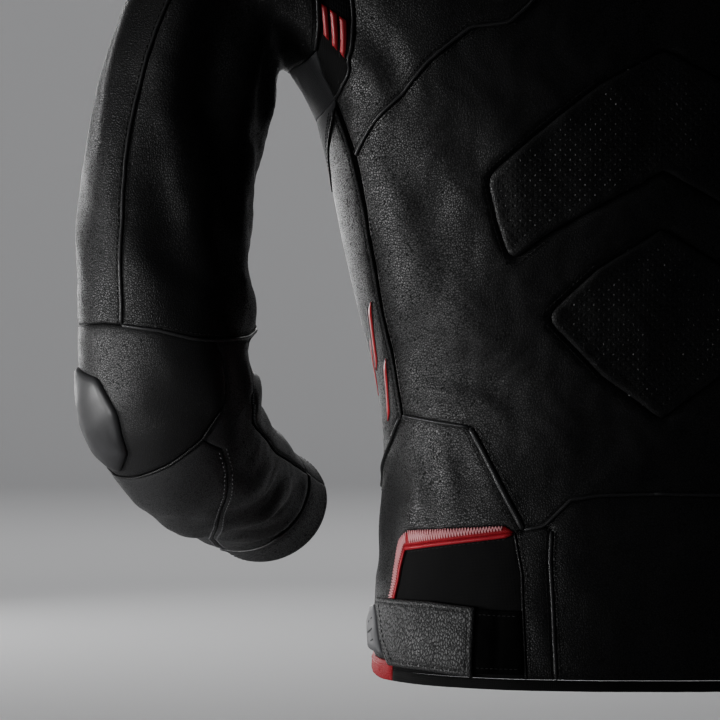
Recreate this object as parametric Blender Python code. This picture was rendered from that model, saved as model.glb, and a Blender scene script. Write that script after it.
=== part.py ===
"""Leather motorcycle racing jacket in its worn shape: hollow, arms bent, front towards -Y, wearer's left at +X.

Every cloth piece is cut as a flat outline and laid on one of three shaped surfaces: the body, a sleeve or the
collar. An outline's points are given on the pattern, not in space:
  body    (round, height)  round is the share of the half girth, 0 at the spine, 50 at the side, 100 at the zip
  sleeve  (turn, along)    turn is in degrees, 0 outer, 90 back, 180 inner; along runs down from the armhole
  collar  (round, up)      round as on the body; up is above the neck seam
The origin is at the base of the neck, where the wearer's shoulders carry the jacket. Metres throughout.
"""

import math

import bpy
import numpy as np
from mathutils import Matrix, Vector
from mathutils.geometry import delaunay_2d_cdt

# Cloth
LEATHER = 0.0018
FABRIC = 0.0014
SEAM_GAP = 0.0003
HEM = -0.6225
HEM_BAND_TOP = -0.6155
NECK = 0.012
SIDE = 50.0
FRONT_SEAM = 62.0
ZIP_TAPE = 0.0085  # from the front's edge to the zip's middle

# How coarsely a panel is faceted: across the girth, and along the height
BODY_FACET = (0.030, 0.044)
SLEEVE_FACET = (0.025, 0.031)
FINE_FACET = (0.010, 0.012)  # where one piece lies on another

BODY_COLUMNS = ("height", "half_width", "back", "front", "side_rise", "front_rise", "squareness")
BODY_SECTIONS = (
    (-0.640, 0.177, 0.127, -0.116, 0.000, 0.000, 2.5),  # below the hem
    (-0.620, 0.177, 0.127, -0.116, 0.000, 0.000, 2.5),  # hem
    (-0.575, 0.175, 0.122, -0.115, 0.000, 0.000, 2.5),  # waist strap
    (-0.520, 0.172, 0.115, -0.114, 0.000, 0.000, 2.5),
    (-0.465, 0.170, 0.111, -0.115, 0.000, 0.000, 2.5),  # waist
    (-0.420, 0.178, 0.113, -0.118, 0.000, 0.000, 2.5),
    (-0.380, 0.188, 0.117, -0.121, 0.000, 0.000, 2.5),
    (-0.340, 0.197, 0.122, -0.124, 0.000, 0.000, 2.4),
    (-0.300, 0.205, 0.127, -0.126, 0.000, 0.000, 2.4),  # chest
    (-0.260, 0.215, 0.130, -0.127, 0.000, 0.000, 2.4),
    (-0.225, 0.226, 0.131, -0.126, 0.000, -0.005, 2.4),  # armpit
    (-0.150, 0.224, 0.128, -0.120, 0.000, -0.022, 2.4),
    (-0.075, 0.208, 0.112, -0.104, 0.020, -0.050, 2.3),  # shoulder tip
    (-0.030, 0.150, 0.092, -0.088, 0.004, -0.068, 2.2),
    (0.000, 0.100, 0.073, -0.078, -0.006, -0.078, 2.1),
    (0.012, 0.074, 0.060, -0.074, 0.000, -0.080, 2.0),  # neck
)

# The armhole is an oval on the body, squarer below than a circle.
ARMHOLE_HEIGHT = -0.207
ARMHOLE_RISE = 0.137
ARMHOLE_DROP = 0.058
ARMHOLE_REACH = 16.2
ARMHOLE_SQUARENESS = 2.6
ARMHOLE_TIP = 143  # the sleeve turn at which the side line starts
ARMHOLE_BLEND = 0.10  # how far down the sleeve the armhole's own shape fades out

SLEEVE_COLUMNS = ("along", "x", "y", "z", "aim_x", "aim_y", "aim_z", "across", "deep")
SLEEVE_SECTIONS = (
    (0.000, 0.211, 0.002, -0.155, 1.00, 0.00, -0.10, 0.105, 0.078),  # armhole
    (0.041, 0.252, 0.002, -0.158, 0.95, 0.00, -0.30, 0.0755, 0.070),  # top of the gap under the arm
    (0.092, 0.279, 0.003, -0.201, 0.82, 0.00, -0.57, 0.0675, 0.065),
    (0.150, 0.300, 0.004, -0.255, 0.49, 0.00, -0.87, 0.0595, 0.061),
    (0.197, 0.309, 0.006, -0.300, 0.17, 0.00, -0.98, 0.0562, 0.059),
    (0.244, 0.311, 0.009, -0.348, 0.05, -0.03, -1.00, 0.0556, 0.058),
    (0.297, 0.311, 0.010, -0.400, 0.00, -0.15, -1.00, 0.0560, 0.058),
    (0.346, 0.307, 0.004, -0.448, -0.12, -0.45, -0.85, 0.0560, 0.056),  # elbow
    (0.394, 0.294, -0.030, -0.480, -0.30, -0.80, -0.52, 0.0530, 0.051),
    (0.449, 0.275, -0.078, -0.500, -0.34, -0.84, -0.42, 0.0480, 0.045),
    (0.503, 0.256, -0.125, -0.517, -0.36, -0.84, -0.36, 0.0445, 0.040),
    (0.526, 0.248, -0.145, -0.523, -0.38, -0.84, -0.32, 0.0445, 0.040),  # cuff
)

COLLAR_HEIGHT = 0.045
COLLAR_LEAN = 0.18


def column(sections, names, name, at):
    """One column of a section table, read at any place by a smooth curve through its rows."""
    table = np.array(sections)
    place, value = table[:, 0], table[:, names.index(name)]
    slope = np.gradient(value, place)
    at = np.clip(at, place[0], place[-1])
    i = np.clip(np.searchsorted(place, at) - 1, 0, len(place) - 2)
    step = place[i + 1] - place[i]
    t = (at - place[i]) / step
    rise = (3 - 2 * t) * t * t
    return (
        (1 - rise) * value[i]
        + rise * value[i + 1]
        + step * t * (1 - t) * ((1 - t) * slope[i] - t * slope[i + 1])
    )


def power(value, exponent):
    return np.sign(value) * np.abs(value) ** exponent


def body_ring(turn, height):
    """The body's section at a height: turn is 0 at the spine and half a circle at the zip."""
    wide, back, front, side_rise, front_rise, square = (
        column(BODY_SECTIONS, BODY_COLUMNS, name, height) for name in BODY_COLUMNS[1:]
    )
    s, c = np.sin(turn), np.cos(turn)
    y = np.where(c > 0, back, -front) * power(c, 2 / square)
    z = height + side_rise * s**2 + np.where(c < 0, front_rise * c**2, 0)
    return np.stack([wide * power(s, 2 / square), y, z], -1)


def body_girth(height):
    """Half the girth at each height, from the spine to the zip."""
    ring = body_ring(np.linspace(0, math.pi, 91), np.asarray(height, float)[..., None])
    return np.linalg.norm(np.diff(ring, axis=-2), axis=-1).sum(-1)


def body(round_, height):
    """The body's outer face; a negative round is on the wearer's right."""
    round_, height = np.broadcast_arrays(np.asarray(round_, float), np.asarray(height, float))
    turns = np.linspace(0, math.pi, 91)
    steps = np.linalg.norm(np.diff(body_ring(turns, height[..., None]), axis=-2), axis=-1)
    arc = np.concatenate([np.zeros(height.shape + (1,)), np.cumsum(steps, -1)], -1)
    reach = np.abs(round_) / 100 * arc[..., -1]
    i = np.clip((arc < reach[..., None]).sum(-1) - 1, 0, len(turns) - 2)
    low = np.take_along_axis(arc, i[..., None], -1)[..., 0]
    step = np.take_along_axis(steps, i[..., None], -1)[..., 0]
    point = body_ring(turns[i] + (reach - low) / step * (turns[1] - turns[0]), height)
    point[..., 0] *= np.where(round_ < 0, -1, 1)
    return point


def armhole(turn):
    """The armhole seam on the body's pattern, at a turn of the sleeve."""
    s, c = np.sin(np.radians(turn)), np.cos(np.radians(turn))
    height = ARMHOLE_HEIGHT + np.where(c > 0, ARMHOLE_RISE, ARMHOLE_DROP) * power(c, 2 / ARMHOLE_SQUARENESS)
    return SIDE - ARMHOLE_REACH * power(s, 2 / ARMHOLE_SQUARENESS), height


def sleeve_ring(turn, along):
    """The left sleeve's round section, before the armhole's shape is blended in."""
    x, y, z, aim_x, aim_y, aim_z, across, deep = (
        column(SLEEVE_SECTIONS, SLEEVE_COLUMNS, name, along)[..., None] for name in SLEEVE_COLUMNS[1:]
    )
    aim = np.concatenate([aim_x, aim_y, aim_z], -1)
    aim /= np.linalg.norm(aim, axis=-1, keepdims=True)
    up = np.clip(1 - along / ARMHOLE_BLEND, 0, 1)[..., None]
    outer = np.array([1.0, 0, 0]) + up * np.array([0, 0, 1.0])
    outer = outer - (outer * aim).sum(-1, keepdims=True) * aim
    outer /= np.linalg.norm(outer, axis=-1, keepdims=True)
    back = np.cross(outer, aim)
    angle = np.radians(turn)[..., None]
    return np.concatenate([x, y, z], -1) + across * np.cos(angle) * outer + deep * np.sin(angle) * back


def sleeve(turn, along):
    """The left sleeve's outer face. It starts on the armhole seam of the body."""
    turn, along = np.broadcast_arrays(np.asarray(turn, float), np.asarray(along, float))
    fade = np.clip(1 - along / ARMHOLE_BLEND, 0, 1)[..., None] ** 2
    return sleeve_ring(turn, along) + fade * (body(*armhole(turn)) - sleeve_ring(turn, np.zeros_like(along)))


def sleeve_girth(along):
    across, deep = (column(SLEEVE_SECTIONS, SLEEVE_COLUMNS, name, along) for name in ("across", "deep"))
    return math.pi * (across + deep)


def collar(round_, up):
    """A standing band on the neck seam that leans in a little."""
    base = body(round_, NECK)
    inward = -base * np.array([1, 1, 0])
    inward /= np.linalg.norm(inward, axis=-1, keepdims=True)
    return base + np.asarray(up, float)[..., None] * (np.array([0, 0, 1.0]) + COLLAR_LEAN * inward)


# Each surface with the length on the cloth of one unit of its first coordinate, at a place on its second
SURFACES = {
    "body": (body, lambda height: body_girth(height) / 100, BODY_FACET),
    "sleeve": (sleeve, lambda along: sleeve_girth(along) / 360, SLEEVE_FACET),
    "collar": (collar, lambda up: body_girth(np.full_like(up, NECK)) / 100, (0.026, 0.045)),
}

# The largest folds: where each runs on its pattern, its half width and its height, under 0 for a trough
FOLD_COLUMNS = ("surface", "first", "second", "to_first", "to_second", "half_width", "height")
FOLDS = (
    ("sleeve", 120, 0.050, 138, 0.125, 0.013, 0.0042),  # hanging from the armhole, behind
    ("sleeve", 98, 0.060, 114, 0.160, 0.014, -0.0042),
    ("sleeve", 79, 0.075, 95, 0.185, 0.014, 0.0038),
    ("sleeve", 302, 0.050, 302, 0.150, 0.014, -0.0042),  # and in front
    ("sleeve", 332, 0.060, 332, 0.165, 0.014, 0.0038),
    ("sleeve", 248, 0.205, 290, 0.230, 0.012, -0.0040),  # bunched inside the elbow
    ("sleeve", 200, 0.256, 270, 0.266, 0.012, 0.0046),
    ("sleeve", 203, 0.284, 262, 0.288, 0.011, -0.0046),
    ("sleeve", 205, 0.322, 255, 0.320, 0.011, 0.0046),
    ("sleeve", 130, 0.388, 157, 0.404, 0.010, 0.0028),  # round the forearm
    ("sleeve", 116, 0.420, 158, 0.434, 0.010, -0.0026),
    ("body", 29, -0.302, 25, -0.352, 0.016, -0.0038),  # below the armhole, behind
    ("body", 31, -0.385, 19, -0.412, 0.015, 0.0026),
    ("body", 65, -0.208, 79, -0.224, 0.015, -0.0042),  # and in front
    ("body", 65, -0.254, 84, -0.260, 0.016, 0.0036),
    ("body", 66, -0.424, 88, -0.442, 0.015, -0.0038),  # above the front's hem
    ("body", 67, -0.462, 91, -0.470, 0.014, 0.0034),
)


FOLD_STEP = 0.024  # between the points that carry a fold
FOLD_FOOT = 1.3  # half widths from a fold's crest to where it meets the cloth
FOLD_END = 0.35  # the share of its height that a fold keeps at its ends


def fold_run(fold, unit):
    """A fold's row by name, with its start on the pattern, the size of a step there, and its run in metres."""
    fold = dict(zip(FOLD_COLUMNS, fold))
    start = np.array([fold["first"], fold["second"]], float)
    scale = np.array([float(unit(np.array(fold["second"]))), 1])
    return fold, start, scale, (np.array([fold["to_first"], fold["to_second"]]) - start) * scale


def wrapped(turn):
    return (turn + 180) % 360 - 180


def folded(surface, first, second, unit):
    """How far the folds lift the cloth at places on its pattern, the same on both sides of the body."""
    total = np.zeros(len(first))
    for row in FOLDS:
        if row[0] != surface:
            continue
        fold, start, scale, run = fold_run(row, unit)
        beside = wrapped(first - start[0]) if surface == "sleeve" else np.abs(first) - start[0]
        gap = np.stack([beside, second - start[1]], 1) * scale
        share = np.clip(gap @ run / (run @ run), 0, 1)
        distance = np.linalg.norm(gap - share[:, None] * run, axis=1)
        fade = FOLD_END + (1 - FOLD_END) * np.sin(math.pi * share)
        total += fold["height"] * fade * np.exp(-((distance / fold["half_width"]) ** 2))
    return total


def fold_points(surface, middle, unit, both):
    """Places along each fold's crest and its two feet, on a piece's flat cloth."""
    found = []
    for row in FOLDS:
        if row[0] != surface:
            continue
        fold, start, scale, run = fold_run(row, unit)
        first = wrapped(start[0] - middle) if surface == "sleeve" else start[0] - middle
        aside = np.array([-run[1], run[0]]) / np.linalg.norm(run) * fold["half_width"] * FOLD_FOOT
        count = max(2, round(float(np.linalg.norm(run)) / FOLD_STEP))
        for k in range(count):
            crest = np.array([first, start[1]]) * scale + run * (k + 0.5) / count
            found += [crest - aside, crest, crest + aside]
    found = np.array(found).reshape(-1, 2)
    return np.concatenate([found, found * (-1, 1)]) if both else found


def fresh_scene():
    for thing in list(bpy.data.objects):
        bpy.data.objects.remove(thing)


def material(name, colour, roughness, metallic=0.0):
    made = bpy.data.materials.new(name)
    made.use_nodes = True
    shader = made.node_tree.nodes["Principled BSDF"]
    shader.inputs["Base Color"].default_value = (*colour, 1)
    shader.inputs["Roughness"].default_value = roughness
    shader.inputs["Metallic"].default_value = metallic
    return made


def add_object(name, points, faces, finish):
    mesh = bpy.data.meshes.new(name)
    mesh.from_pydata([tuple(map(float, p)) for p in points], [], [tuple(map(int, f)) for f in faces])
    mesh.materials.append(finish)
    mesh.shade_smooth()
    mesh.set_sharp_from_angle(angle=math.radians(40))
    thing = bpy.data.objects.new(name, mesh)
    bpy.context.collection.objects.link(thing)
    return thing


def rounded(points, radii):
    """A closed outline with its corners rounded; a radius of 0 leaves a corner sharp."""
    result = []
    for i, (corner, radius) in enumerate(zip(points, radii)):
        if not radius:
            result.append(corner)
            continue
        before, after = points[i - 1] - corner, points[(i + 1) % len(points)] - corner
        room = min(np.linalg.norm(before), np.linalg.norm(after))
        before, after = before / np.linalg.norm(before), after / np.linalg.norm(after)
        half = math.acos(np.clip(before @ after, -1, 1)) / 2
        reach = min(radius / math.tan(half), 0.45 * room)
        start, end = corner + reach * before, corner + reach * after
        for t in (0, 0.25, 0.5, 0.75, 1):
            result.append((1 - t) ** 2 * start + 2 * t * (1 - t) * corner + t**2 * end)
    return np.array(result)


def divided(points, facet):
    """A closed outline with extra points on its long edges."""
    result = []
    for start, end in zip(points, np.roll(points, -1, axis=0)):
        count = max(1, math.ceil(np.linalg.norm((end - start) / facet) - 0.2))
        result += [start + (end - start) * k / count for k in range(count)]
    return np.array(result)


def area(points):
    x, y = points.T
    return 0.5 * float(np.sum(x * np.roll(y, -1) - np.roll(x, -1) * y))


def inset(points, distance):
    """A closed outline, running counterclockwise, moved in by the distance."""
    edge = np.roll(points, -1, axis=0) - points
    edge /= np.linalg.norm(edge, axis=1, keepdims=True)
    inward = np.stack([-edge[:, 1], edge[:, 0]], 1)
    before = np.roll(inward, 1, axis=0)
    miter = inward + before
    miter /= np.maximum(1 + (inward * before).sum(1), 0.3)[:, None]
    return points + distance * miter


def inside(points, outline, margin):
    """Which points lie in the outline, further than the margin from its edge, or up to it outside."""
    start, end = outline, np.roll(outline, -1, axis=0)
    x, y = points[:, :1], points[:, 1:]
    crosses = (start[:, 1] > y) != (end[:, 1] > y)
    rise = np.where(end[:, 1] == start[:, 1], 1e-12, end[:, 1] - start[:, 1])
    within = (crosses & (x < start[:, 0] + (y - start[:, 1]) * (end[:, 0] - start[:, 0]) / rise)).sum(1) % 2 == 1
    along = end - start
    share = ((points[:, None] - start) * along).sum(2) / np.maximum((along**2).sum(1), 1e-18)
    nearest = start + np.clip(share, 0, 1)[..., None] * along
    distance = np.linalg.norm(points[:, None] - nearest, axis=2).min(1)
    return within & (distance > margin) if margin >= 0 else within | (distance < -margin)


def triangulated(outline, holes, facet, creases):
    """Flat points and triangles that fill an outline but not its holes: a point about every facet, and the creases."""
    loops = [loop / facet for loop in [outline] + holes]
    low, high = np.floor(loops[0].min(0)), np.ceil(loops[0].max(0))
    across, along = np.meshgrid(np.arange(low[0], high[0]) + 0.5, np.arange(low[1], high[1]) + 0.5)
    inner = np.stack([across.ravel(), along.ravel()], 1)
    inner = inner[inside(inner, loops[0], 0.45)]
    if len(creases):
        creases = creases / facet
        apart = np.linalg.norm(inner[:, None] - creases, axis=2).min(1)
        inner = np.concatenate([inner[apart > 0.6], creases[inside(creases, loops[0], 0.25)]])
    for loop in loops[1:]:
        inner = inner[~inside(inner, loop, -0.30)]
    points, edges = [Vector(p) for p in np.concatenate(loops + [inner])], []
    for loop in loops:
        first = len(edges)
        edges += [(first + i, first + (i + 1) % len(loop)) for i in range(len(loop))]
    found, _, triangles, *_ = delaunay_2d_cdt(points, edges, [], 1, 1e-7)
    found, triangles = np.array([tuple(p) for p in found]), np.array(triangles)
    middle = found[triangles].mean(1)
    for loop in loops[1:]:
        keep = ~inside(middle, loop, 0)
        triangles, middle = triangles[keep], middle[keep]
    return found * facet, triangles


def close(corner, other):
    """Whether two corners are one, as where two seams that an outline is joined from meet."""
    return abs(corner[0] - other[0]) < 0.02 and abs(corner[1] - other[1]) < 2e-5


def cut(outline, middle, unit, facet, both, margin):
    """An outline in metres on the flat cloth, with its corners rounded and moved in by the margin."""
    outline = [corner for i, corner in enumerate(outline) if not close(corner, outline[i - 1])]
    corners = np.array([corner[:2] for corner in outline], float) - (middle, 0)
    radii = [corner[2] if len(corner) > 2 else 0 for corner in outline]
    if both:
        mirrored = [i for i in reversed(range(len(corners))) if corners[i, 0] != 0]
        radii += [radii[i] for i in mirrored]
        corners = np.concatenate([corners, corners[mirrored] * (-1, 1)])
    flat = np.stack([corners[:, 0] * unit(corners[:, 1]), corners[:, 1]], 1)
    if area(flat) < 0:
        flat, radii = flat[::-1], radii[::-1]
    flat = rounded(flat, radii)
    pattern = np.stack([flat[:, 0] / unit(flat[:, 1]), flat[:, 1]], 1)
    pattern = divided(pattern, facet / (float(np.mean(unit(pattern[:, 1]))), 1))
    return inset(np.stack([pattern[:, 0] * unit(pattern[:, 1]), pattern[:, 1]], 1), margin)


def panel(name, surface, outline, finish, wall=LEATHER, lift=0.0, both=False, right=False, facet=None, holes=()):
    """One cut piece. lift is how far its outer face stands out from the surface. With both, the outline is the
    left half of a piece that crosses the centre line; with right, the piece is the left one mirrored. Holes are
    outlines too, which other pieces fill."""
    shape, unit, default_facet = SURFACES[surface]
    facet = np.array(facet or default_facet)
    middle = 0.0 if both else float(np.mean([corner[0] for corner in outline]))
    edge = cut(outline, middle, unit, facet, both, SEAM_GAP / 2)
    gaps = [cut(hole, middle, unit, facet, both, -SEAM_GAP / 2) for hole in holes]
    flat, triangles = triangulated(edge, gaps, facet, fold_points(surface, middle, unit, both))

    first, second = flat[:, 0] / unit(flat[:, 1]) + middle, flat[:, 1]
    nudge = 1e-4
    turn = nudge / unit(flat[:, 1])
    place = shape(first, second)
    across = shape(first + turn, second) - shape(first - turn, second)
    along = shape(first, second + nudge) - shape(first, second - nudge)
    normal = np.cross(along, across)
    normal /= np.linalg.norm(normal, axis=1, keepdims=True)
    place += folded(surface, first, second, unit)[:, None] * normal
    outer, inner = place + lift * normal, place + (lift - wall) * normal

    faces = triangles[:, ::-1]
    count = len(outer)
    edges = {(a, b) for f in faces for a, b in zip(f, np.roll(f, -1))}
    solid = [tuple(f) for f in faces] + [tuple(f[::-1] + count) for f in faces]
    order = place @ (0.3, 0.5, 0.8)  # any fixed way to go, so that both sides of a seam are split alike
    for a, b in sorted(edges):
        if (b, a) in edges:
            continue
        if order[a] < order[b]:
            solid += [(b, a, a + count), (b, a + count, b + count)]
        else:
            solid += [(b, a, b + count), (a, a + count, b + count)]
    points = np.concatenate([outer, inner])
    if right:
        points = points * (-1, 1, 1)
        solid = [f[::-1] for f in solid]
    return add_object(name, points, solid, finish)


def pair(name, *args, **options):
    """A piece on the wearer's left, and its mirror image on the right."""
    for side in ("left", "right"):
        panel(f"{name}_{side}", *args, right=side == "right", **options)


# ---- seams on the body, as (round, height); each is used by the panels on both sides of it
def stations(start, end, step):
    """Places along a curved seam at whole steps, so that the pieces on both its sides share them."""
    low, high = min(start, end), max(start, end)
    between = [t for t in range(0, 400, step) if low < t < high]
    return [start] + between[:: 1 if start < end else -1] + [end]


def armhole_edge(start, end):
    round_, height = armhole(np.array(stations(start, end, 10)))
    return [(float(r), float(h)) for r, h in zip(round_, height)]


def sleeve_top(start, end):
    return [(turn, 0.0) for turn in stations(start, end, 10)]


def neck_edge(start, end, height=NECK):
    return [(round_, height) for round_ in stations(start, end, 6)]


TIP_ROUND, TIP_HEIGHT = (float(v) for v in armhole(ARMHOLE_TIP))
ZIP_END = HEM + 0.004
ZIP_SIDE = [(float(100 - 100 * ZIP_TAPE / body_girth(h)), float(h)) for h in np.linspace(NECK, ZIP_END, 11)]
FRONT_NECK = ZIP_SIDE[0][0]
YOKE_SEAM = [(0, -0.185), (11.5, -0.185), (14, -0.204), (16, -0.214), (20, -0.216), (25, -0.236), (29, -0.256)]
YOKE_SEAM += [(34, -0.275), (37, -0.292)]
SIDE_LINE_BACK = [(37, -0.292), (37.05, -0.33), (37.05, -0.455)]
SIDE_LINE_FRONT = [(TIP_ROUND + 0.45, -0.261), (38.3, -0.288), (37.75, -0.33), (37.75, -0.456)]
STRETCH_SEAM = [(TIP_ROUND + 0.45, -0.261), (40.3, -0.267), (44.5, -0.286), (47.4, -0.304), (50, -0.311)]
STRETCH_SEAM += [(52.6, -0.304), (55.5, -0.286), (FRONT_SEAM - 0.6, -0.260)]
HIP_SEAM = [(37.75, -0.456), (41.7, -0.471), (46.9, -0.488), (51, -0.503), (FRONT_SEAM, -0.530)]
WAIST_TOP = [(25.6, -0.4616), (37.05, -0.455)]
LOW_BACK_SEAM = [(0, -0.502), (8, -0.503), (11.8, -0.506), (15.2, -0.522), (18, -0.5246)]
STRIP_INNER = [(14.3, -0.5245), (14.4, -0.543), (13.9, -0.573), (13.3, HEM_BAND_TOP)]
WINDOW_INNER = [(19.2, -0.5262), (18, -0.552), (17.8, -0.567), (17.1, HEM_BAND_TOP)]
TRIM_TOP = [(19.2, -0.5262), (20.5, -0.5223), (35.7, -0.5275)]
TRIM_LOW = [(20.3, -0.5275), (36.3, -0.5375)]
LEG_OUTER = [(37.7, -0.533), (39.9, -0.572), (39.9, -0.580)]
LEG_INNER = [(36.3, -0.5375), (38.4, -0.572), (38.4, HEM_BAND_TOP)]

# ---- edges on the sleeve, as (turn, along)
BACK_SEAM = 64
INNER_SEAM = 196
STRETCH_EDGE = [(20, 0.008), (45, 0.012), (BACK_SEAM, 0.0133), (75, 0.014), (103, 0.016), (117, 0.0175), (126, 0.0185)]
GUSSET_EDGE = [(126, 0.0185), (133, 0.021), (141, 0.0235), (150, 0.027), (162, 0.032), (180, 0.036)]
GUSSET_EDGE += [(INNER_SEAM, 0.0335), (200, 0.033), (217, 0.026)]
GUSSET_BACK = [(ARMHOLE_TIP, 0.0), (140, 0.006), (137, 0.012), (126, 0.0185)]
ELBOW_TOP = [(BACK_SEAM, 0.289), (90, 0.291), (113, 0.296), (132, 0.298), (165, 0.300), (INNER_SEAM, 0.300)]
ELBOW_SIDE = [(129, 0.2977), (134.5, 0.308), (136.5, 0.320), (134, 0.329), (129, 0.335)]
ELBOW_LOW = [(129, 0.335), (113, 0.347), (89, 0.356), (61, 0.364), (35, 0.370), (5, 0.362), (-12, 0.345)]
ELBOW_FRONT = [(-12, 0.345), (-18, 0.320), (-12, 0.296)]
FOREARM_SEAM = [(113, 0.347), (126, 0.357), (126, 0.372), (119, 0.387), (105, 0.408), (93, 0.426), (78, 0.450)]
CUFF_SEAM = 0.487
CUFF_END = 0.526
FOREARM_SEAM += [(70, CUFF_SEAM)]
ZIP_LINE = [(164, 0.338), (158.5, 0.357), (167, 0.374), (175, 0.393), (182, 0.435), (193, CUFF_SEAM)]
ZIP_WIDTH = 5.5  # degrees round the sleeve, about 4 mm
ZIP_TOP = [(166.7, 0.338), (174, 0.300)]  # the seam above the zip
CUFF_TURN = 196  # the cuff's own seam


def body_pieces(hide, red, stretch, black_cloth, rubber):
    panel("back_yoke", "body", YOKE_SEAM + armhole_edge(ARMHOLE_TIP, 0)
          + [(SIDE, -0.03)] + neck_edge(SIDE, 0), hide, both=True)
    upper = [(0, -0.232), (7, -0.2528), (13, -0.278), (20, -0.308, 0.012), (19.3, -0.335), (18, -0.361, 0.010),
             (14, -0.345), (0, -0.305)]
    lower = [(0, -0.3405), (7.6, -0.364), (14.3, -0.394, 0.010), (7.6, -0.430), (0, -0.456)]
    panel("back", "body", YOKE_SEAM + SIDE_LINE_BACK[1:] + WAIST_TOP[:1] + LOW_BACK_SEAM[::-1], hide, both=True,
          holes=(upper, lower))
    panel("perforated_insert_upper", "body", upper, hide, both=True, wall=0.0028, lift=0.0012)
    panel("perforated_insert_lower", "body", lower, hide, both=True, wall=0.0028, lift=0.0012)
    panel("low_back", "body", LOW_BACK_SEAM[:-1] + STRIP_INNER + [(0, HEM_BAND_TOP)], hide, both=True)
    panel("hem_band", "body", [(0, HEM_BAND_TOP), (38.4, HEM_BAND_TOP), (38.4, HEM), (0, HEM)],
          black_cloth, both=True, wall=0.0026)

    pair("side_line", "body", [(TIP_ROUND, TIP_HEIGHT - 0.0008)] + SIDE_LINE_BACK + SIDE_LINE_FRONT[::-1],
         black_cloth, wall=0.0012, lift=-0.0008)
    pair("side", "body", STRETCH_SEAM + [(FRONT_SEAM, -0.290)] + HIP_SEAM[::-1] + SIDE_LINE_FRONT[:0:-1], hide)
    pair("side_stretch", "body", [(TIP_ROUND, TIP_HEIGHT)] + STRETCH_SEAM
         + armhole_edge(360 - ARMHOLE_TIP, ARMHOLE_TIP), stretch, wall=FABRIC)
    pair("hip", "body", WAIST_TOP + HIP_SEAM + [(FRONT_SEAM, -0.610), (38.4, -0.610), (38.4, -0.580)]
         + LEG_OUTER[::-1] + TRIM_TOP[::-1] + [(18, -0.5246)], hide)
    pair("hip_trim", "body", TRIM_TOP + LEG_OUTER + [(38.4, -0.580)] + LEG_INNER[1::-1] + TRIM_LOW[:1],
         red, wall=0.0026, lift=0.0008)
    pair("waist_stretch", "body", WINDOW_INNER[:1] + TRIM_LOW + LEG_INNER[1:] + WINDOW_INNER[:0:-1],
         black_cloth, wall=FABRIC, lift=-0.0006)
    pair("low_strip", "body", [(18, -0.5246), (15.2, -0.522)] + STRIP_INNER + WINDOW_INNER[::-1], hide)
    pair("hem_side", "body", [(38.4, -0.610), (FRONT_SEAM, -0.610), (FRONT_SEAM, HEM), (38.4, HEM)], red)
    pair("front", "body", [(FRONT_SEAM, HEM), (FRONT_SEAM, -0.290), (FRONT_SEAM - 0.6, -0.260)]
         + armhole_edge(360 - ARMHOLE_TIP, 360) + [(SIDE, -0.03)] + neck_edge(SIDE, FRONT_NECK)[:-1]
         + ZIP_SIDE + [(ZIP_SIDE[-1][0], HEM)], hide)
    pair("front_zip", "body", [(100, height) for _, height in ZIP_SIDE[::-1]] + ZIP_SIDE,
         black_cloth, wall=FABRIC, lift=-0.0002)

    pair("waist_strap", "body",
         [(24, -0.5725), (31, -0.570), (43.8, -0.571, 0.005), (41, -0.598), (38.3, -0.6125, 0.005), (31, -0.613),
          (24, -0.6155)], hide, wall=0.0030, lift=0.0042, facet=FINE_FACET)
    pair("strap_elastic", "body", [(17.9, -0.574), (23.9, -0.5735), (23.9, -0.613), (17.3, -0.613)],
         black_cloth, wall=0.0016, lift=0.0019, facet=FINE_FACET)
    pair("strap_tab", "body",
         [(43.3, -0.576), (46.5, -0.578, 0.003), (49, -0.588, 0.003), (46.5, -0.605, 0.003), (39.6, -0.606),
          (41, -0.598)], rubber, wall=0.0030, lift=0.0050, facet=FINE_FACET)


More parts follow.
